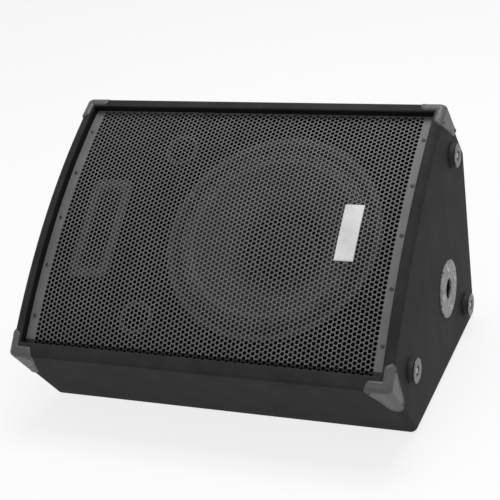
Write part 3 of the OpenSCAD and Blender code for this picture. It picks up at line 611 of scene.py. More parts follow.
def grained_finishes(c):
    """The plain finishes, by name. After a name and a colour come the spread of its shades, the size of
    its patches and of its grain, the grain's depth, and its roughness where it is smooth and rough."""
    return {
        "corner": grained("corner_moulded_plastic", c.corner, 0.2, 0.009, 0.0012, 0.00015, 0.36, 0.55),
        "rubber": grained("foot_rubber", c.rubber, 0.2, 0.01, 0.001, 0.00008, 0.55, 0.72,
                          Specular_IOR_Level=0.35),
        "screw": grained("screw_blackened_steel", grey(0.06, 0.003), 0.25, 0.003, 0.0006, 0.00003, 0.3, 0.45,
                         Metallic=0.6),
        "baffle": grained("baffle_flat_black", grey(0.003), 0.25, 0.03, 0.001, 0.0001, 0.85, 0.95,
                          Specular_IOR_Level=0.0),
        "foam": grained("foam_strip", grey(0.012), 0.3, 0.01, 0.001, 0.0003, 0.9, 1.0,
                        Specular_IOR_Level=0.1),
        "basket": grained("basket_painted_casting", grey(0.034, 0.001), 0.15, 0.02, 0.0015, 0.00015,
                          0.4, 0.52, Specular_IOR_Level=0.2),
        "gasket": grained("gasket_card", grey(0.012), 0.2, 0.006, 0.0008, 0.00015, 0.75, 0.85,
                          Specular_IOR_Level=0.2),
        "ferrite": grained("ferrite", grey(0.05, 0.005), 0.2, 0.01, 0.002, 0.0001, 0.6, 0.75),
        "cup": grained("cup_moulded_plastic", grey(0.022, 0.001), 0.18, 0.02, 0.0011, 0.00018, 0.5, 0.62),
        "film": grained("capacitor_film", (0.75, 0.6, 0.12), 0.1, 0.01, 0.001, 0.00004, 0.25, 0.35,
                        Coat_Weight=0.4),
        "jacket": grained("wire_jacket", grey(0.015), 0.25, 0.01, 0.001, 0.00005, 0.4, 0.5),
        "grip": grained("handle_grip_rubber", grey(0.018), 0.2, 0.01, 0.0014, 0.0003, 0.65, 0.8),
    }


def patterned_finishes(c):
    """The finishes that have a pattern of their own, by name."""
    every_way, drawn_down = (1, 1, 1), (1, 1, 0.08)
    return {
        "cabinet": speckled_paint("cabinet_textured_paint", c.paint),
        "steel": coated_steel("grille_powder_coat", c.steel, painted_shadow_width=0.013),
        "badge": coated_steel("badge_satin_plate", c.badge),
        "cap": lined_casting("cap_satin_zinc", c.cap, 0.0106, 0.0119),
        "socket": lined_casting("socket_satin_casting", c.socket),
        "zinc": brushed("screw_zinc", grey(0.4), every_way, 0.3, 0.4),
        "plywood": plywood("bare_plywood", (0.62, 0.5, 0.34)),
        "surround": doped_pleats("surround_doped_cloth", c.surround),
        "cone": pressed_paper("cone_pressed_paper", c.cone),
        "dust_cap": woven("dust_cap_cloth", c.dust_cap, 0.001, 0.5, 0.7, hem=True),
        "copper": wound_wire("coil_copper", (0.78, 0.42, 0.22)),
        "spider": woven("spider_cloth", (0.55, 0.38, 0.13), 0.0011, 0.75, 0.95),
        "iron": brushed("magnet_plate_steel", grey(0.5, 0.01), drawn_down, 0.3, 0.5),
        "plastic": front_moulding("horn_moulded_plastic", c.plastic),
        "titanium": brushed("diaphragm_titanium", (0.7, 0.68, 0.66), every_way, 0.25, 0.35),
        "board": etched_board("crossover_board", (0.02, 0.11, 0.05)),
        "lining": matted_fibre("lining_felt", grey(0.3, 0.02)),
    }


# ---- Properties ----


def length(name, description, default):
    return FloatProperty(name=name, description=description, default=default, unit="LENGTH")


def colour(name, description, default):
    return FloatVectorProperty(name=name, description=description, default=default, size=3,
                               subtype="COLOR", min=0.0, max=1.0)


class WedgeSizes(bpy.types.PropertyGroup):
    """Sizes of the wedge that the CAD frame leaves open."""

    columns: IntProperty(name="Hole columns", description="Columns of holes across the grille",
                         default=85, min=21, max=121)
    rows: IntProperty(name="Hole rows", description="Rows of holes up the grille",
                      default=57, min=15, max=81)
    hole: length("Hole", "Diameter of the grille's holes", 0.0072)
    edge: length("Edge round", "Radius of the cabinet's outer edges", 0.012)
    brow: length("Front round", "Radius where the front meets the kick and top panels", 0.007)
    lip: length("Lip round", "Radius of the opening's inner edges", 0.0025)
    corner_leg: length("Corner leg", "Length of a protector's legs along the front", 0.046)
    corner_drop: length("Corner drop", "Length of a protector's leg down from the front", 0.082)
    corner_tip: length("Corner tip", "Width of a leg at its tip", 0.017)
    corner_thick: length("Corner thickness", "Thickness of the corner protectors", 0.0022)


class WedgeColours(bpy.types.PropertyGroup):
    """Colours of the wedge."""

    paint: colour("Paint", "Textured paint on the cabinet", (0.024, 0.024, 0.0245))
    steel: colour("Steel", "Powder coat on the grille", (0.118, 0.118, 0.12))
    badge: colour("Badge", "Bare plate on the grille", (0.62, 0.62, 0.62))
    corner: colour("Corners", "Plastic of the corner protectors", (0.055, 0.055, 0.0565))
    rubber: colour("Rubber", "Rubber of the end feet", (0.02, 0.02, 0.02))
    cap: colour("Caps", "Metal of the foot caps", (0.20, 0.20, 0.20))
    socket: colour("Socket", "Metal of the pole socket", (0.26, 0.26, 0.265))
    cone: colour("Cone", "Paper of the cone", (0.046, 0.046, 0.047))
    surround: colour("Surround", "Doped cloth round the cone", (0.04, 0.04, 0.041))
    dust_cap: colour("Dust cap", "Cloth of the dust cap", (0.007, 0.007, 0.0072))
    plastic: colour("Plastic", "Plastic of the horn and ports", (0.06, 0.06, 0.061))


class WEDGE_OT_finishes(bpy.types.Operator):
    """Make the finishes"""

    bl_idname = "wedge.finishes"
    bl_label = "Finishes"

    def execute(self, context):
        colours = context.scene.wedge_colours
        made = patterned_finishes(colours) | grained_finishes(colours)
        FINISHES.update((key, finish.material) for key, finish in made.items())
        return {"FINISHED"}


# ---- Cabinet ----

FLAT_SPARE = 0.0005
POLE_HOLE = 0.0222
HANDLE_HOLE = (0.0752, 0.0422)
DISH_HOLE = (0.0652, 0.0422)
DISH_CORNER = 0.010


def corner_centre(point, normal_a, normal_b, radius):
    """The point that lies radius inside two straight sides that meet at point."""
    sides = np.array([normal_a, normal_b])
    return np.linalg.solve(sides, sides @ point - radius)


def arc_rows(centre, radius, start, end, steps=9):
    """Rows of centre, radius, angle and mitre along one arc of the outline. The mitre is the arc's middle
    direction, lengthened by one over the cosine of half its turn."""
    angle = np.linspace(start, end, steps)
    middle, half = (start + end) / 2, (start - end) / 2
    mitre = np.array([math.cos(middle), math.sin(middle)]) / math.cos(half)
    parts = (np.tile(centre, (steps, 1)), np.full(steps, radius), angle, np.tile(mitre, (steps, 1)))
    return np.column_stack(parts)


def outline_arcs(sizes):
    """The arcs of the cabinet's end outline, clockwise from the kick panel's edge, as rows that an inset
    can shrink."""
    brow, radius = sizes.brow, sizes.edge + FLAT_SPARE
    low, high = (BROW + s * UP + bow_at(s, brow) * OFF for s in (brow, LENGTH - brow))
    lean_low, lean_high = (math.atan2(c[1] - BOW_CENTRE[1], c[0] - BOW_CENTRE[0]) for c in (low, high))
    rear, floor = np.array([1.0, 0.0]), np.array([0.0, -1.0])
    return {
        "brow": arc_rows(low, brow, TILT + math.pi, lean_low),
        "bow": arc_rows(BOW_CENTRE, BOW_RADIUS, lean_low, lean_high, 67)[1:-1],
        "crest": arc_rows(high, brow, lean_high, TILT),
        "shoulder": arc_rows(corner_centre(SHOULDER, UP, rear, radius), radius, TILT, 0.0),
        "heel": arc_rows(corner_centre(HEEL, rear, floor, radius), radius, 0.0, -math.pi / 2),
        "toe": arc_rows(corner_centre(TOE, floor, -UP, radius), radius, -math.pi / 2, TILT - math.pi),
    }


def outline_points(rows, inset=0.0):
    """Centre plus the radius less the inset along each row's angle, or along its mitre once the inset is
    past the radius."""
    reach = (rows[:, 2] - inset)[:, None]
    ray = np.column_stack([np.cos(rows[:, 3]), np.sin(rows[:, 3])])
    return rows[:, :2] + np.where(reach > 0, reach * ray, reach * rows[:, 4:])


def whole_outline(sizes, per_side=14):
    """Every arc in turn, rows spread along the straight sides between, and a mark on the bowed rows."""
    arcs = outline_arcs(sizes)
    names = list(arcs)
    rows, bowed = [], []
    for k, name in enumerate(names):
        here, after = arcs[name], arcs[names[(k + 1) % len(names)]]
        rows.append(here)
        bowed.append(np.full(len(here), name == "bow"))
        if name in ("brow", "bow"):
            continue
        t = np.linspace(0, 1, per_side + 2)[1:-1, None]
        side = here[-1] * (1 - t) + after[0] * t
        side[:, 3] = here[-1, 3]
        side[:, 4:] = np.cos(here[-1, 3]), np.sin(here[-1, 3])
        rows.append(side)
        bowed.append(np.zeros(per_side, bool))
    return np.vstack(rows), np.concatenate(bowed)


def end_board(side, hole, sizes):
    """An end panel: rings of the outline from its inner face round the eased edges to its outer face, and
    back through its hole. On a round, a ring is drawn in by the radius times one less the cosine, as it
    moves out by the radius times the sine."""
    rows, bowed = whole_outline(sizes)
    lip, edge = sizes.lip, sizes.edge
    rings = [(X_IN, hole(outline_points(rows)))]
    for turn in quarter(5):
        ease = np.where(bowed, lip * (1 - math.sin(turn)), 0.0)
        rings.append((X_IN + lip * (1 - math.cos(turn)), outline_points(rows, ease)))
    for turn in quarter(9):
        inset = edge * (1 - math.cos(turn))
        rings.append((X_END - edge * (1 - math.sin(turn)), outline_points(rows, inset)))
    rings.append((X_END, hole(outline_points(rows))))
    points = [np.column_stack([np.full(len(loop), side * x), loop]) for x, loop in rings]
    return Shell().grid(np.array(points), wrap_rows=True, wrap_cols=True)


def round_hole(spot, radius):
    """Each outline point drawn in along its ray to a circle about the spot."""
    def cut(loop):
        ray = loop - spot
        return spot + radius * ray / np.linalg.norm(ray, axis=1, keepdims=True)
    return cut


def slot_hole(spot, half):
    """Each outline point drawn in along its ray to a rectangle about the spot."""
    def cut(loop):
        ray = loop - spot
        return spot + ray / np.max(np.abs(ray) / half, axis=1, keepdims=True)
    return cut


def cross_board(*parts):
    """A closed profile in Y and Z, put together from parts, carried straight across between the ends."""
    profile = np.vstack(parts)
    ends = [np.column_stack([np.full(len(profile), x), profile]) for x in (-X_IN, X_IN)]
    return Shell().grid(np.array(ends), wrap_cols=True, caps=True)


def meeting(p, q, r, t1, t2):
    """Inner corner of two boards, of thickness t1 on p-q and t2 on q-r."""
    u, w = (q - p) / np.linalg.norm(q - p), (r - q) / np.linalg.norm(r - q)
    k = u[0] * w[1] - u[1] * w[0]
    return q - t2 / k * u + t1 / k * w


TOE_IN = meeting(BROW, TOE, HEEL, KICK_BOARD, BOARD)
HEEL_IN = meeting(TOE, HEEL, SHOULDER, BOARD, BOARD)
SHOULDER_IN = meeting(HEEL, SHOULDER, CREST, BOARD, BOARD)


def lip_round(s, step, ease):
    """The eased inner edge of a board at the opening, from its inner face to the bow: a quarter circle."""
    turn = quarter(5)
    along = s - step * ease * (1 - np.cos(turn))
    height = bow_at(along) - ease * (1 - np.sin(turn))
    return BROW + np.multiply.outer(along, UP) + np.multiply.outer(height, OFF)


def rear_board(bottom, top):
    """The rear panel: rings from the dish's hole out over its face, round the eased bottom and top edges,
    over its inner face and back."""
    def ring(loop, y):
        return np.column_stack([loop[:, 0], y + 0 * loop[:, 1], loop[:, 1]])

    wide, high = DISH_HOLE
    hole = rounded_loop(-wide, wide, DISH_Z - high, DISH_Z + high, DISH_CORNER)
    rings = [ring(hole, HEEL[0])]
    for (yb, zb), (yt, zt) in zip(bottom, top):
        loop = rounded_loop(-X_IN, X_IN, zb, zt, 0.0)
        rings.append(ring(loop, yb + (yt - yb) * (loop[:, 1] - zb) / (zt - zb)))
    rings.append(ring(rounded_loop(-X_IN, X_IN, HEEL_IN[1], SHOULDER_IN[1], 0.0), HEEL_IN[0]))
    rings.append(ring(hole, HEEL_IN[0]))
    return Shell().grid(np.array(rings), wrap_rows=True, wrap_cols=True)


class WEDGE_OT_cabinet(bpy.types.Operator):
    """Make the painted boards with their eased edges"""

    bl_idname = "wedge.cabinet"
    bl_label = "Cabinet"
    bl_options = {"REGISTER", "UNDO"}

    def execute(self, context):
        """Each long board takes half of the round at each of its edges."""
        sizes = context.scene.wedge_sizes
        arcs = {name: outline_points(rows) for name, rows in outline_arcs(sizes).items()}
        half = {name: (arc[: len(arc) // 2 + 1], arc[len(arc) // 2 :]) for name, arc in arcs.items()}
        toe, heel, shoulder = half["toe"], half["heel"], half["shoulder"]
        kick_lip = lip_round(KICK_BOARD, 1, sizes.lip)
        top_lip = lip_round(LENGTH - BOARD, -1, sizes.lip)
        boards = {
            "right_end": end_board(1, round_hole(np.array(POLE_SPOT), POLE_HOLE), sizes),
            "left_end": end_board(-1, slot_hole(np.array(HANDLE_SPOT), HANDLE_HOLE), sizes),
            "kick": cross_board(TOE_IN[None], kick_lip, arcs["brow"][::-1], toe[1][::-1]),
            "floor": cross_board(TOE_IN[None], toe[0][::-1], heel[1][::-1], HEEL_IN[None]),
            "top": cross_board(SHOULDER_IN[None], shoulder[0][::-1], arcs["crest"][::-1], top_lip[::-1]),
            "rear": rear_board(heel[0], shoulder[1][::-1]),
        }
        for name, board in boards.items():
            board.build(f"{name}_board", "cabinet", "cabinet_paint", replaces=[f"{name}_panel"])
        return {"FINISHED"}


# ---- Grille ----

HOLE_SIDES = 12
GRILLE_GAP = 0.001
GRILLE_LOW = KICK_BOARD + GRILLE_GAP
GRILLE_HIGH = LENGTH - BOARD - GRILLE_GAP
FOLD_DEPTH = 0.0078


def laid(x, s, depth):
    """Points that lie a depth below the grille's outer face."""
    return front(x, s, bow_at(s, RECESS + depth))


def hole_cell(w, p, radius):
    """A cell of the sheet, of half width w and half height p, with a hole in it. Six points stand on its
    border, at its corners and the middles of its upright sides, and twelve on the hole's rim. Triangles
    join them, front and back, and quads wall the hole."""
    a = np.arange(HOLE_SIDES) * 2 * math.pi / HOLE_SIDES
    border = np.array([[w, 0], [w, p], [-w, p], [-w, 0], [-w, -p], [w, -p]])
    cell = np.vstack([border, np.column_stack([np.cos(a), np.sin(a)]) * radius])
    first, size = len(border), len(cell)
    rim = [(first + k, first + (k + 1) % HOLE_SIDES) for k in range(HOLE_SIDES)]
    face = [[i, j, (k + 1) // 2 % first] for k, (i, j) in enumerate(rim)]
    face += [[rim[2 * m][1], (m + 1) % first, m] for m in range(first)]
    triangles = np.array(face + [[size + i for i in corners] for corners in face])
    walls = np.array([[i, j, size + j, size + i] for i, j in rim])
    return cell, triangles, walls


def fold_profile(s, inward):
    """The sheet's turned-down edge: a strip as thick as the sheet, with a rounded lower end."""
    top = bow_at(s, RECESS + SHEET)
    end = bend((SHEET / 2, top - FOLD_DEPTH), SHEET / 2, 180, 360, 5)
    strip = np.vstack([[[0, top]], end, [[SHEET, top]]])
    return np.column_stack([s + inward * strip[:, 0], strip[:, 1]])


def perforated(first, last, sizes, half_width):
    """Part of the perforated sheet from one column of holes to another, closed all round. Each column is
    a stack of cells one pitch long, and every second column is moved up by half a pitch. A column is as
    wide as the pitch times the sine of 60 degrees. The pattern is then laid on the bowed front."""
    columns, rows = sizes.columns, sizes.rows
    pitch = (GRILLE_HIGH - GRILLE_LOW) / rows
    width = pitch * math.sin(math.radians(60))
    left = -columns * width / 2
    w, p = width / 2, pitch / 2
    shell = Shell()

    def patch(x, s):
        """A plain stretch of the sheet, front and back."""
        x, s = np.meshgrid(x, s, indexing="ij")
        for depth in (0.0, SHEET):
            shell.grid(laid(x, s, depth))

    def cut_edge(x, s):
        """The sheet's cut edge along a line."""
        shell.grid(np.stack([laid(x, s, 0.0), laid(x, s, SHEET)]))

    centres, half_cells = [], []
    for i in range(first, last):
        odd = i % 2
        s = GRILLE_LOW + (np.arange(rows - odd) + 0.5 + 0.5 * odd) * pitch
        x = left + (i + 0.5) * width
        centres.append(np.column_stack([np.full(len(s), x), s]))
        if odd:
            half_cells += [(x, GRILLE_LOW, GRILLE_LOW + p), (x, GRILLE_HIGH - p, GRILLE_HIGH)]
    centres = np.vstack(centres)
    cell, triangles, walls = hole_cell(w, p, sizes.hole / 2)
    x, s = np.moveaxis(centres[:, None, :] + cell[None], -1, 0)
    number = np.arange(len(centres))[:, None, None] * 2 * len(cell)
    sheets = np.stack([laid(x, s, 0.0), laid(x, s, SHEET)], axis=1)
    shell.add(sheets, (triangles[None] + number).reshape(-1, 3))
    shell.faces.extend((walls[None] + number).reshape(-1, 4).tolist())
    for x, low, high in half_cells:
        patch(np.array([x - w, x + w]), np.array([low, high]))

    ladder = GRILLE_LOW + np.arange(2 * rows + 1) * p
    x_edges = left + np.arange(first, last + 1) * width
    if first == 0:
        patch(np.array([-half_width, x_edges[0]]), ladder)
        x_edges = np.concatenate([[-half_width], x_edges])
    if last == columns:
        patch(np.array([x_edges[-1], half_width]), ladder)
        x_edges = np.concatenate([x_edges, [half_width]])
    ends = (x_edges[0], x_edges[-1])
    for x in ends:
        cut_edge(np.full(len(ladder), x), ladder)
    for s, inward in ((GRILLE_LOW, 1), (GRILLE_HIGH, -1)):
        cut_edge(x_edges, np.full(len(x_edges), s))
        fold = fold_profile(s, inward)
        both = np.stack([front(x, fold[:, 0], fold[:, 1]) for x in ends])
        shell.grid(both, wrap_cols=True, caps=True)
    return shell


class WEDGE_OT_grille(bpy.types.Operator):
    """Make the bowed, perforated steel grille"""

    bl_idname = "wedge.grille"
    bl_label = "Grille"
    bl_options = {"REGISTER", "UNDO"}

    def execute(self, context):
        sizes = context.scene.wedge_sizes
        middle = sizes.columns // 2 + 1
        for side, first, last in (("left", 0, middle), ("right", middle, sizes.columns)):
            shell = perforated(first, last, sizes, X_IN - GRILLE_GAP)
            shell.build(f"grille_sheet_{side}", "steel", "grille_steel", replaces=["grille"])
        return {"FINISHED"}


class WEDGE_OT_badge(bpy.types.Operator):
    """Make the bare badge plate"""

    bl_idname = "wedge.badge"
    bl_label = "Badge"
    bl_options = {"REGISTER", "UNDO"}

    def execute(self, context):
        """A plate on the bow: its height at a point is the lesser of two edge profiles, across and along."""
        wide, tall, thick = 0.034, 0.105, 0.002
        step = np.array([0, 0, 0.0004, 0.0012])
        rise = np.array([0, 0.0012, 0.0018, thick])
        rungs = np.linspace(step[-1], tall - step[-1], 19)
        across = np.concatenate([step, wide - step[::-1]]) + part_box("badge_plate")[0].x
        along = np.concatenate([step[:-1], rungs, tall - step[-2::-1]]) + FRONT_MID - tall / 2
        rise_across = np.concatenate([rise, rise[::-1]])
        rise_along = np.concatenate([rise[:-1], np.full(len(rungs), thick), rise[-2::-1]])
        x, s = np.meshgrid(across, along, indexing="ij")
        height = np.minimum(rise_across[:, None], rise_along[None])
        shell = Shell().grid(front(x, s, bow_at(s, RECESS - height)))
        shell.grid(front(x, s, bow_at(s, RECESS)))
        shell.build("badge_bare_plate", "badge", "badge_metal", replaces=["badge_plate"], crease=50)
        return {"FINISHED"}


# ---- Corner protectors ----

STAR_RAYS = 48
SKIN_DIP = 0.0006
LIP_BAR, KICK_BAR = 0.0145, 0.0160


def cosine_sine(angle):
    """Both kept off zero, so that they can be divided by."""
    return np.cos(angle) + 1e-9, np.sin(angle) + 1e-9


def bar_reach(angle, leg, wide_a, wide_b):
    """How far the protector reaches on the lip: the farther of two slant-tipped bars along its edges."""
    c, s = cosine_sine(angle)
    slant = 0.45
    bar_a = np.minimum(wide_a / c, leg / (s + slant * c))
    bar_b = np.minimum(leg / (c + slant * s), wide_b / s)
    return np.maximum(bar_a, bar_b)


def web_reach(angle, first, second, tip):
    """How far it reaches on a wide face: to either leg's slanted tip, or to a slightly hollow line from
    tip to tip."""
    c, s = cosine_sine(angle)
    slant, depth = 0.3, 0.09
    normal = np.array([second - tip, first - tip])
    line = normal @ (first, tip) / (normal[0] * c + normal[1] * s)
    start, end = math.atan2(tip, first), math.atan2(second, tip)
    hollow = np.sin(math.pi * np.clip((angle - start) / (end - start), 0, 1))
    tips = np.minimum(first / (c + slant * s), second / (s + slant * c))
    return np.minimum(tips, line * (1 - depth * hollow))


def star_rays(upper, sizes):
    """The star's rays as vectors from the corner over its three faces, their lengths smoothed from ray
    to ray."""
    leg, tip = sizes.corner_leg, sizes.corner_tip
    drop = sizes.corner_drop + float(bow_at(leg)) * 0.5
    angle = np.arange(STAR_RAYS) * (math.pi / 2) / STAR_RAYS
    reach = np.concatenate([
        bar_reach(angle, leg, LIP_BAR, LIP_BAR if upper else KICK_BAR),
        web_reach(angle, leg, drop, tip),
        web_reach(angle, drop, leg, tip),
    ])
    for _ in range(3):
        reach = 0.25 * np.roll(reach, 1) + 0.5 * reach + 0.25 * np.roll(reach, -1)
    rays = np.zeros((3, STAR_RAYS, 3))
    for k, (i, j) in enumerate(((0, 1), (1, 2), (2, 0))):
        rays[k, :, i], rays[k, :, j] = np.cos(angle), np.sin(angle)
    return reach, reach[:, None] * rays.reshape(-1, 3)


def wrapped(flat, height, radii):
    """Points given along the faces, lifted by a height and wrapped round the rounded edges: each is held
    to a box one radius inside the faces, and set one radius out from there."""
    lifted = flat - height[..., None]
    held = np.maximum(lifted, radii)
    out = (lifted - held) / (radii + height[..., None])
    out /= np.linalg.norm(out, axis=-1, keepdims=True)
    return held + (radii + height[..., None]) * out


def protector(side, upper, sizes):
    """A stacking corner: a star of three legs spread from the corner over its three faces. The skin's
    height swells as a bell curve to a bead near the star's border, and falls to nothing there along a
    quarter ellipse."""
    border, bead_in, bead_wide, bead_high = 0.0018, 0.0040, 0.0013, 0.0007
    buried, past_end = 0.0030, 0.003
    reach, rays = star_rays(upper, sizes)
    radii = np.array([sizes.edge, sizes.brow, sizes.brow])
    share = np.concatenate([np.linspace(0, 0.93, 24), 0.94 + 0.06 * np.sin(quarter(7, 15))])
    flat = share[:, None, None] * rays[None]
    short = (1 - share)[:, None] * reach[None]
    bead = bead_high * np.exp(-((short - bead_in) / bead_wide) ** 2)
    fall = np.sqrt(1 - np.clip(1 - short / border, 0, 1) ** 2)
    skin = wrapped(flat, (sizes.corner_thick - SKIN_DIP + bead) * fall, radii)
    under = wrapped(flat, np.full(short.shape, -buried), radii)

    def seat(p):
        """From corner coordinates (in from the end, along the slope, down from the bow) to the row frame."""
        s = LENGTH - p[..., 1] if upper else p[..., 1]
        bow = bow_at(np.clip(s, -past_end, LENGTH + past_end))
        return front(side * (X_END - p[..., 0]), s, bow - p[..., 2])

    shell = Shell()
    for sheet in (skin, under, np.stack([skin[-1], under[-1]])):
        shell.grid(seat(sheet), wrap_cols=True)
    return shell


class WEDGE_OT_corners(bpy.types.Operator):
    """Make the four corner protectors"""

    bl_idname = "wedge.corners"
    bl_label = "Corner protectors"
    bl_options = {"REGISTER", "UNDO"}

    def execute(self, context):
        for upper, level in ((False, "lower"), (True, "upper")):
            for side, hand in ((1, "right"), (-1, "left")):
                shell = protector(side, upper, context.scene.wedge_sizes)
                shell.build(f"corner_protector_{level}_{hand}", "corner", "corner_plastic",
                            replaces=[f"corner_{level}_{hand}"], crease=40)
        return {"FINISHED"}


# ---- Feet and pole socket ----


class WEDGE_OT_feet(bpy.types.Operator):
    """Make the three end feet with their caps"""

    bl_idname = "wedge.feet"
    bl_label = "End feet"
    bl_options = {"REGISTER", "UNDO"}

    def execute(self, context):
        """Each foot is a turned profile: a waisted rubber body, and a metal cap with a dished middle."""
        bore, sides = 0.0026, 64
        body = np.vstack([
            [[bore, 0.0002]],
            bend((0.0212, 0.0009), 0.0008, -90, 0, 4),
            bend((0.0206, 0.0046), 0.0010, -40, 40, 5),
            bend((0.0204, 0.0087), 0.0008, 0, 90, 5),
            [[bore, 0.0095]],
        ])
        cap = np.vstack([
            [[bore, 0.0096]],
            bend((0.0200, 0.0106), 0.0010, -90, 0, 4),
            bend((0.0196, 0.0111), 0.0014, 0, 90, 6),
            bend((0.0102, 0.0117), 0.0008, 90, 160, 5),
            [[0.0078, 0.0101], [bore, 0.0100]],
        ])
        caps = Shell()
        for name, spot in FOOT_SPOTS.items():
            place = on_right_end(spot)
            foot = lathe(body, sides, place)
            foot.build(f"foot_rubber_{name}", "rubber", "foot_rubber", replaces=[f"foot_{name}"])
            caps.grid(stand(turned(cap, sides), place), wrap_rows=True, wrap_cols=True)
        caps.build("foot_cap_washers", "cap", "cap_metal", replaces=["foot_caps"])
        return {"FINISHED"}


class WEDGE_OT_pole_socket(bpy.types.Operator):
    """Make the pole socket"""

    bl_idname = "wedge.pole_socket"
    bl_label = "Pole socket"
    bl_options = {"REGISTER", "UNDO"}

    def execute(self, context):
        """A turned profile: a flange with an eased edge, a chamfered bore, and a closed tube behind it."""
        bore, tube, flange, bottom, end = 0.018, 0.022, 0.052, -0.082, -0.086
        profile = np.vstack([
            [[0.0, bottom], [bore, bottom]],
            bend((0.0195, 0.0015), 0.0015, 180, 90, 6),
            [[0.0235, 0.0030]],
            bend((0.0508, 0.0018), 0.0012, 90, 0, 6),
            [[flange, 0.0001], [tube, 0.0001], [tube, end], [0.0, end]],
        ])
        shell = lathe(profile, 96, on_right_end(POLE_SPOT), closed=False)
        shell.build("pole_socket_flange", "socket", "socket_metal", replaces=["pole_socket"])
        return {"FINISHED"}


# ---- Woofer ----

CONE_NECK, CONE_RIM = 0.0382, 0.146
CONE_FOOT, CONE_RISE, CONE_SAG = -0.0715, 0.0795, 0.06
CAP_RADIUS, CAP_RISE = 0.057, 0.0195
PLEAT_START, PLEAT_HALF, PLEAT_RISE, PLEAT_FOOT = 0.1515, 0.0042, 0.0042, 0.0092


def cone_height(r):
    """Height of the cone's face: a straight slope from neck to rim that sags a little in the middle."""
    t = (r - CONE_NECK) / (CONE_RIM - CONE_NECK)
    return CONE_FOOT + CONE_RISE * (t - CONE_SAG * np.sin(math.pi * np.clip(t, 0, 1)))


def cone_profile():
    """The cone's slope with four shallow ribs, each a bell curve, then its rim and its back."""
    rib_high, rib_wide, thick = 0.0006, 0.0012, 0.0012
    middles = (0.078, 0.096, 0.114, 0.132)
    r = np.linspace(CONE_NECK, CONE_RIM, 70)
    ribs = sum(rib_high * np.exp(-((r - middle) / rib_wide) ** 2) for middle in middles)
    face = np.column_stack([r, cone_height(r) + ribs])
    rim = [[0.1478, 0.0085], [0.1518, 0.0086], [0.1518, 0.0074], [0.147, 0.0066]]
    return np.vstack([face, rim, face[::-1] - [0, thick]])


def pleat_profile():
    """Two pleats, their height going by one less the cosine of a turn for each, and the cloth's underside."""
    inner, outer, cloth = 0.1480, 0.1790, 0.0008
    radius = np.linspace(inner, outer, 61)
    turns = np.clip((radius - PLEAT_START) / (4 * PLEAT_HALF), 0, 1) * 2
    skin = PLEAT_FOOT + PLEAT_RISE * (1 - np.cos(2 * math.pi * turns)) / 2
    return np.vstack([np.column_stack([radius, skin]), np.column_stack([radius, skin - cloth])[::-1]])


def dust_cap_profile():
    """A dome that is part of a ball, a hem of glue round its foot, and its hollow back."""
    cloth, seam = 0.0009, 0.0004
    ball = (CAP_RADIUS**2 + CAP_RISE**2) / (2 * CAP_RISE)
    r = np.linspace(0, CAP_RADIUS, 18)
    foot = cone_height(CAP_RADIUS) + seam
    dome = np.column_stack([r, foot + np.sqrt(ball**2 - r**2) - ball + CAP_RISE])
    hem = [[0.0582, foot + 0.0003], [0.0586, foot - 0.0002]]
    return np.vstack([dome, hem, (dome - [0, cloth])[::-1]])


def gasket_profile():
    """A flat ring of card with rounded shoulders."""
    foot, shoulder, round_off = 0.0093, 0.0118, 0.0012
    return np.vstack([
        [[0.1702, foot]],
        bend((0.1716, shoulder), round_off, 180, 90, 5),
        bend((0.1806, shoulder), round_off, 90, 0, 5),
        [[0.1818, foot]],
    ])


def stretch(surround, place):
    """Bakes the surround's placement into its mesh and reads its points in the baffle's frame; the points
    are not moved."""
    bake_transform(surround)
    points = np.zeros(len(surround.data.vertices) * 3)
    surround.data.vertices.foreach_get("co", points)
    away = (points.reshape(-1, 3) - place[0]) @ place[1:].T


class WEDGE_OT_woofer(bpy.types.Operator):
    """Make the woofer's cone, surround, dust cap and gasket"""

    bl_idname = "wedge.woofer"
    bl_label = "Woofer"
    bl_options = {"REGISTER", "UNDO"}

    def execute(self, context):
        place = on_baffle(WOOFER_X, FRONT_MID)
        cone = lathe(cone_profile(), 128, place)
        cone.build("woofer_cone_paper", "cone", "cone_paper", CONE, ["woofer_cone"], crease=60)
        ring = lathe(pleat_profile(), 128, place)
        surround = ring.build("woofer_surround_pleats", "surround", "surround_cloth", None,
                              ["woofer_surround"], crease=60)
        stretch(surround, place)
        cap = lathe(dust_cap_profile(), 96, place, closed=False)
        cap.build("woofer_dust_cap_dome", "dust_cap", "cap_cloth", CONE, ["woofer_dust_cap"], crease=60)
        gasket = lathe(gasket_profile(), 128, place)
        gasket.build("woofer_gasket_ring", "gasket", "foam", CABINET, ["woofer_gasket"])
        return {"FINISHED"}


# ---- Horn and ports ----

THROAT = 0.0125
MOUTH_WIDE, MOUTH_LONG, MOUTH_CORNER = 0.023, 0.084, 0.010
FLANGE_WIDE, FLANGE_MORE, FLANGE_CORNER = 0.039, 0.061, 0.013


def horn_section(t, grow):
    """A rounded rectangle that swells from the round throat to the long mouth along power curves."""
    wide = THROAT + (MOUTH_WIDE - THROAT) * t**1.3 + grow
    long = THROAT + (MOUTH_LONG - THROAT) * t**1.5 + grow
    corner = min(wide, THROAT + (MOUTH_CORNER - THROAT) * t + grow)
    return rounded_loop(-wide, wide, -long, long, corner, 9)


def flange_loop(wide):
    long = wide + FLANGE_MORE
    return rounded_loop(-wide, wide, -long, long, FLANGE_CORNER, 9)


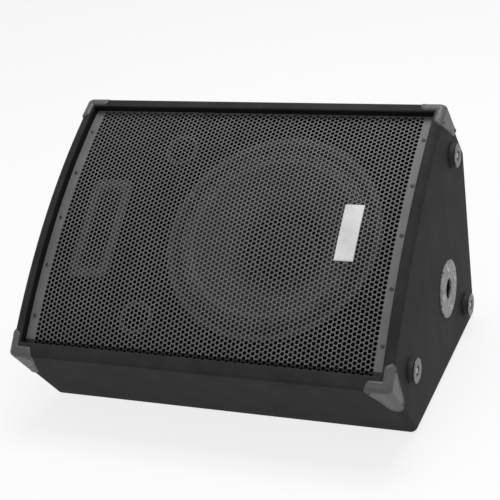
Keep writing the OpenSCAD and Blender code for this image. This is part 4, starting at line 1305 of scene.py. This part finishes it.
class WEDGE_OT_horn(bpy.types.Operator):
    """Make the horn"""

    bl_idname = "wedge.horn"
    bl_label = "Horn"
    bl_options = {"REGISTER", "UNDO"}

    def execute(self, context):
        """Rings run out of the throat to the mouth, over the flange, and back down behind the flare at a
        wall's thickness."""
        wall, boss, deep, end = 0.003, 0.015, -0.063, -0.066
        neck, mouth, mouth_round = -0.060, 0.0038, 0.0012
        edge, edge_round = 0.003, 0.002
        steps = np.linspace(0, 1, 24)
        rings = [flat_ring(horn_section(0, 0), end)]
        rings += [flat_ring(horn_section(t, 0), neck + (mouth - neck) * t) for t in steps]
        for turn in quarter(3, 30):
            grow = mouth_round * (1 - math.cos(turn))
            rings.append(flat_ring(horn_section(1, grow), mouth + mouth_round * math.sin(turn)))
        for turn in quarter(5, 90, 0):
            loop = flange_loop(FLANGE_WIDE - edge_round + edge_round * math.cos(turn))
            rings.append(flat_ring(loop, edge + edge_round * math.sin(turn)))
        rings.append(flat_ring(flange_loop(FLANGE_WIDE), 0.0))
        rings += [flat_ring(horn_section(t, wall), deep - deep * t) for t in steps[::-1]]
        rings += [flat_ring(horn_section(0, boss), height) for height in (deep, end)]
        points = stand(np.array(rings), on_baffle(HORN_X, FRONT_MID))
        shell = Shell().grid(points, wrap_rows=True, wrap_cols=True)
        shell.build("horn_moulding", "plastic", "moulded_plastic", replaces=["horn_flare"])
        return {"FINISHED"}


class WEDGE_OT_ports(bpy.types.Operator):
    """Make the two port tubes"""

    bl_idname = "wedge.ports"
    bl_label = "Ports"
    bl_options = {"REGISTER", "UNDO"}

    def execute(self, context):
        """A turned profile: a tube whose mouth rolls outwards into a thin flange."""
        bore, tube, flange, end = 0.024, 0.027, 0.031, -0.11
        profile = np.vstack([
            [[bore, end]],
            bend((tube, 0.0), tube - bore, 180, 90, 7),
            bend((0.0296, 0.0016), 0.0014, 90, 0, 5),
            [[flange, 0.0001], [tube, 0.0001], [tube, end]],
        ])
        for name, s in (("upper", PORT_REACH), ("lower", -PORT_REACH)):
            shell = lathe(profile, 72, on_baffle(VENT_X, FRONT_MID + s))
            shell.build(f"port_moulding_{name}", "plastic", "moulded_plastic", replaces=[f"port_tube_{name}"])
        return {"FINISHED"}


# ---- Handle ----

CUP_WIDE, CUP_HIGH, CUP_DEEP, CUP_RIM = 0.150, 0.084, 0.052, 0.011


def cup_rings():
    """A recessed cup as rings of a rounded rectangle: up the outside, over a rounded rim, down a drafted
    wall and round a filleted floor."""
    def ring(grow, height, corner):
        wide, high = CUP_WIDE / 2 + grow, CUP_HIGH / 2 + grow
        return flat_ring(rounded_loop(-wide, wide, -high, high, corner, 7), height)

    wall, base, draft, fillet = 0.003, 0.010, 0.0025, 0.005
    rim_round, rim_low, rim_corner = 0.0022, 0.0008, base + CUP_RIM / 2
    middle, floor = -0.02, wall - CUP_DEEP
    rings = [
        ring(middle, -CUP_DEEP, 0.0),
        ring(-0.006, -CUP_DEEP, 0.006),
        ring(-0.001, fillet - CUP_DEEP, base),
        ring(0, 0.0001, base),
        ring(CUP_RIM, 0.0001, rim_corner),
    ]
    for turn in quarter(6):
        grow = CUP_RIM - rim_round * (1 - math.cos(turn))
        rings.append(ring(grow, rim_low + rim_round * math.sin(turn), rim_corner))
    for turn in quarter(6, 90, 0):
        grow = rim_round * (1 - math.cos(turn)) - wall
        rings.append(ring(grow, rim_low + rim_round * math.sin(turn), base - wall + 0.002))
    for turn in quarter(7):
        grow = -wall - draft - fillet * (1 - math.cos(turn))
        rings.append(ring(grow, floor + fillet * (1 - math.sin(turn)), base - wall))
    rings.append(ring(middle, floor, 0.0))
    return np.array(rings)


def grip_points():
    """A round tube along the cup that swells by a cosine towards its middle, with fine rings for grip,
    which are a cosine along it."""
    half, ringed, sunk, bar_radius = 0.0718, 0.046, 0.011, 0.0090
    x = np.linspace(-half, half, 121)
    swell = bar_radius + 0.0006 * np.cos(math.pi * x / 0.16)
    grooves = 0.0004 * (np.abs(x) < ringed) * np.cos(2 * math.pi * x / 0.004)
    tube = turned(np.column_stack([swell + grooves, x]), 40)
    return np.stack([tube[..., 2], tube[..., 1], tube[..., 0] - sunk], axis=-1)


class WEDGE_OT_handle(bpy.types.Operator):
    """Make the recessed handle"""

    bl_idname = "wedge.handle"
    bl_label = "Handle"
    bl_options = {"REGISTER", "UNDO"}

    def execute(self, context):
        place = on_left_end(HANDLE_SPOT)
        cup = Shell().grid(stand(cup_rings(), place), wrap_cols=True, caps=True)
        cup.build("handle_cup_moulding", "cup", "moulded_plastic", replaces=["handle_cup"])
        bar = Shell().grid(stand(grip_points(), place), wrap_cols=True, caps=True)
        bar.build("handle_grip_bar", "grip", "handle_grip", replaces=["handle_bar"])
        return {"FINISHED"}


# ---- Screws ----


def screw_head(radius, height):
    """A domed head with a cross cut in it: the height of a flattened circle at each radius, less the
    cut's depth where the point lies within either arm of the cross."""
    arm_half, arm_long, cut, sunk = 0.13 * radius, 0.6 * radius, 0.45 * height, -0.0004
    share = np.array([1.0, 1.0, 0.985, 0.93, 0.84, 0.72, 0.62, 0.58, 0.46, 0.34, 0.22, 0.12, 0.0])
    dome = height * (0.25 + 0.75 * np.sqrt(np.clip(1 - share**2, 0, 1)))
    dome[0] = sunk
    head = turned(np.column_stack([radius * share, dome]), 32)
    off_axis = np.abs(head[..., :2])
    in_arm = (off_axis.min(axis=-1) < arm_half) & (off_axis.max(axis=-1) < arm_long)
    head[..., 2] -= cut * in_arm
    return np.concatenate([head[:1] * (0, 0, 1), head])


def corner_leg_places(sizes):
    """Frames on the three screw seats of every protector."""
    reach, inward = sizes.corner_leg - 0.009, sizes.corner_tip / 2
    down, thick = sizes.corner_drop - 0.009, sizes.corner_thick - SKIN_DIP
    places = []
    for side in (1, -1):
        x = side * (X_END + thick)
        end_axes = ((0, -UP[0], -UP[1]), SLOPE_OFF, (side, 0, 0))
        for start, step in ((0, 1), (LENGTH, -1)):
            face_axes = ((1, 0, 0), SLOPE_OFF, (0, -step * UP[0], -step * UP[1]))
            places += [
                axes(front(x, start + step * reach, bow_at(reach) - inward), *end_axes),
                axes(front(x, start + step * inward, -down), *end_axes),
                axes(front(side * (X_END - reach), start - step * thick, -inward), *face_axes),
            ]
    return places


def four(x, y, z):
    """The corners of a rectangle at a height."""
    return [(i * x, j * y, z) for i in (-1, 1) for j in (-1, 1)]


def circle(radius, degrees, z):
    """Points on a circle at a height: radius times cosine and sine."""
    return [(radius * math.cos(a), radius * math.sin(a), z) for a in np.radians(degrees)]


class WEDGE_OT_screws(bpy.types.Operator):
    """Make every visible screw head"""

    bl_idname = "wedge.screws"
    bl_label = "Screws"
    bl_options = {"REGISTER", "UNDO"}

    def execute(self, context):
        """Each group is a head's radius and height, and the frames that its heads stand on."""
        strip, step = X_IN - 0.010, 0.096
        small = (0.0036, 0.0020)
        woofer, horn = on_baffle(WOOFER_X, FRONT_MID), on_baffle(HORN_X, FRONT_MID)
        pole, handle = on_right_end(POLE_SPOT), on_left_end(HANDLE_SPOT)
        strips = [on_bow(x, FRONT_MID + i * step, RECESS) for x in (-strip, strip) for i in range(-2, 3)]
        groups = {
            "grille": (*small, strips),
            "corner": (0.0032, 0.0016, corner_leg_places(context.scene.wedge_sizes)),
            "woofer": (0.0055, 0.0030, copies(woofer, circle(0.188, np.arange(22.5, 360, 45), 0.008))),
            "horn": (*small, copies(horn, four(0.032, 0.088, 0.005))),
            "pole_socket": (0.0042, 0.0020, copies(pole, circle(0.038, [0, 90, 180, 270], 0.003))),
            "foot": (0.0050, 0.0020, [on_right_end(spot, 0.0100) for spot in FOOT_SPOTS.values()]),
            "handle": (*small, copies(handle, four(0.0805, 0.034, 0.003))),
            "terminal": (*small, copies(on_rear(), four(0.071, 0.034, 0.003))),
        }
        for name, (radius, height, places) in groups.items():
            shell = Shell()
            for place in places:
                shell.grid(stand(screw_head(radius, height), place), wrap_cols=True)
            finish = "zinc" if name in ("foot", "pole_socket") else "screw"
            shell.build(f"{name}_screw_heads", finish, "black_screws", replaces=[f"{name}_screws"], crease=30)
        return {"FINISHED"}


# ---- What shows of the CAD frame itself ----

CAD_FINISHES = {
    "plywood": ["window_brace", "baffle_cleats"],
    "baffle": ["baffle", "grille_rails"],
    "foam": ["grille_tapes"],
    "basket": ["woofer_frame"],
    "copper": ["voice_coil", "crossover_coils"],
    "spider": ["woofer_spider"],
    "iron": ["woofer_top_plate", "woofer_yoke", "driver_front_plate", "driver_rear_plate"],
    "ferrite": ["woofer_magnet", "driver_magnet"],
    "plastic": ["driver_clamp_ring", "driver_cover"],
    "cup": ["terminal_dish", "speaker_sockets"],
    "titanium": ["driver_diaphragm"],
    "board": ["crossover_board"],
    "film": ["crossover_capacitors"],
    "jacket": ["woofer_wires", "horn_wires", "input_wires"],
    "lining": ["lining_pads"],
}


class WEDGE_OT_inside(bpy.types.Operator):
    """Give the carried-over CAD pieces their finishes"""

    bl_idname = "wedge.inside"
    bl_label = "Inside"
    bl_options = {"REGISTER", "UNDO"}

    def execute(self, context):
        for key, names in CAD_FINISHES.items():
            for name in names:
                node = NODES[name]
                if not node.material_slots:
                    node.data.materials.append(None)
                for material_slot in node.material_slots:
                    material_slot.material = FINISHES[key]
        return {"FINISHED"}


# ---- Stage ----

WHITE = (1, 1, 1, 1)


def put_in_scene(name, data):
    thing = bpy.data.objects.new(name, data)
    bpy.context.scene.collection.objects.link(thing)
    return thing


def lay_floor():
    """A wide flat sheet just under the cabinet, almost white to the eye and softly shaded."""
    far, down, glow_share = 9.0, -0.0004, 0.8
    mesh = bpy.data.meshes.new("floor")
    corners = [(-far, -far, down), (far, -far, down), (far, far, down), (-far, far, down)]
    mesh.from_pydata(corners, [], [(0, 1, 2, 3)])
    f = Finish("floor_pale", Roughness=0.9, Specular_IOR_Level=0.1)
    f.set("Base Color", f.blend(f.noise(0.4), grey(0.90), grey(0.93)))
    lit = Wire(f, f.shader.outputs[0])
    glow = f.add("ShaderNodeEmission", None, {"Color": WHITE, "Strength": 1.0}, "Emission")
    mixed = f.add("ShaderNodeMixShader", None, {0: f.seen() * glow_share, 1: lit, 2: glow})
    f.join(f.tree.nodes["Material Output"].inputs["Surface"], mixed)
    mesh.materials.append(f.material)
    floor = put_in_scene("floor", mesh)


def surround_with_white(scene):
    """White to the eye and in reflections, and softer where it lights the object."""
    world = bpy.data.worlds.new("studio")
    world.use_nodes = True
    sky = Nodes(world.node_tree)
    soft = sky.tree.nodes["Background"]
    sky.join(soft.inputs["Color"], WHITE)
    sky.join(soft.inputs["Strength"], 0.45)
    bright = sky.add("ShaderNodeBackground", None, {"Color": WHITE, "Strength": 1.0})
    mixed = sky.add("ShaderNodeMixShader", None, {0: sky.seen(), 1: Wire(sky, soft.outputs[0]), 2: bright})
    sky.join(sky.tree.nodes["World Output"].inputs["Surface"], mixed)
    scene.world = world


def hang_lamp(name, spot, width, watts):
    """A round soft light aimed at the middle of the cabinet."""
    middle = Vector((0, 0, 0.2))
    data = bpy.data.lights.new(name, "AREA")
    data.shape = "DISK"
    data.size = width
    data.energy = watts
    lamp = put_in_scene(name, data)
    lamp.location = spot
    lamp.rotation_euler = (middle - Vector(spot)).to_track_quat("-Z", "Y").to_euler()


def stand_camera(scene):
    """A long lens up and to the right of the front: three turns give its forward, right and up directions."""
    spot = (0.9462, -1.9592, 1.2937)
    yaw, pitch, roll = (math.radians(a) for a in (-25.75, -26.74, -8.56))
    forward = Vector((math.sin(yaw) * math.cos(pitch), math.cos(yaw) * math.cos(pitch), math.sin(pitch)))
    level = Vector((math.cos(yaw), -math.sin(yaw), 0))
    upright = level.cross(forward)
    right = level * math.cos(roll) + upright * math.sin(roll)
    up = upright * math.cos(roll) - level * math.sin(roll)
    data = bpy.data.cameras.new("camera")
    data.lens = 95.97
    data.sensor_width = 36.0
    data.shift_x, data.shift_y = -0.0103, 0.0199
    camera = put_in_scene("camera", data)
    turn = Matrix((right, up, -forward)).transposed()
    camera.matrix_world = Matrix.Translation(spot) @ turn.to_4x4()
    scene.camera = camera


class WEDGE_OT_stage(bpy.types.Operator):
    """Set the floor, the soft lights, the white surroundings and the camera"""

    bl_idname = "wedge.stage"
    bl_label = "Stage"
    bl_options = {"REGISTER", "UNDO"}

    def execute(self, context):
        scene = context.scene
        scene.view_settings.view_transform = "Standard"
        lay_floor()
        surround_with_white(scene)
        hang_lamp("top_light", (0.3, 0.5, 3.2), width=2.0, watts=62)
        hang_lamp("side_light", (2.9, -0.6, 1.6), width=1.8, watts=6.5)
        hang_lamp("front_light", (-0.2, -2.9, 2.2), width=2.0, watts=10)
        stand_camera(scene)
        return {"FINISHED"}


# ---- Panel and registration ----

OPERATORS = (
    WEDGE_OT_finishes,
    WEDGE_OT_cabinet,
    WEDGE_OT_grille,
    WEDGE_OT_badge,
    WEDGE_OT_corners,
    WEDGE_OT_feet,
    WEDGE_OT_pole_socket,
    WEDGE_OT_woofer,
    WEDGE_OT_horn,
    WEDGE_OT_ports,
    WEDGE_OT_handle,
    WEDGE_OT_screws,
    WEDGE_OT_inside,
    WEDGE_OT_stage,
)


class WEDGE_PT_panel(bpy.types.Panel):
    """Lists the operators and the properties"""

    bl_label = "Stage monitor wedge"
    bl_idname = "WEDGE_PT_panel"
    bl_space_type = "VIEW_3D"
    bl_region_type = "UI"
    bl_category = "Wedge"

    def draw(self, context):
        for group in (context.scene.wedge_sizes, context.scene.wedge_colours):
            for key in group.__annotations__:
                self.layout.prop(group, key)
        for operator in OPERATORS:
            self.layout.operator(operator.bl_idname)


CLASSES = (WedgeSizes, WedgeColours, *OPERATORS, WEDGE_PT_panel)


def register():
    for item in CLASSES:
        bpy.utils.register_class(item)
    bpy.types.Scene.wedge_sizes = PointerProperty(type=WedgeSizes)
    bpy.types.Scene.wedge_colours = PointerProperty(type=WedgeColours)


def unregister():
    del bpy.types.Scene.wedge_colours
    del bpy.types.Scene.wedge_sizes
    for item in reversed(CLASSES):
        bpy.utils.unregister_class(item)


def main():
    register()
    for operator in OPERATORS:
        group, name = operator.bl_idname.split(".")
        getattr(getattr(bpy.ops, group), name)()


if __name__ == "__main__":
    main()
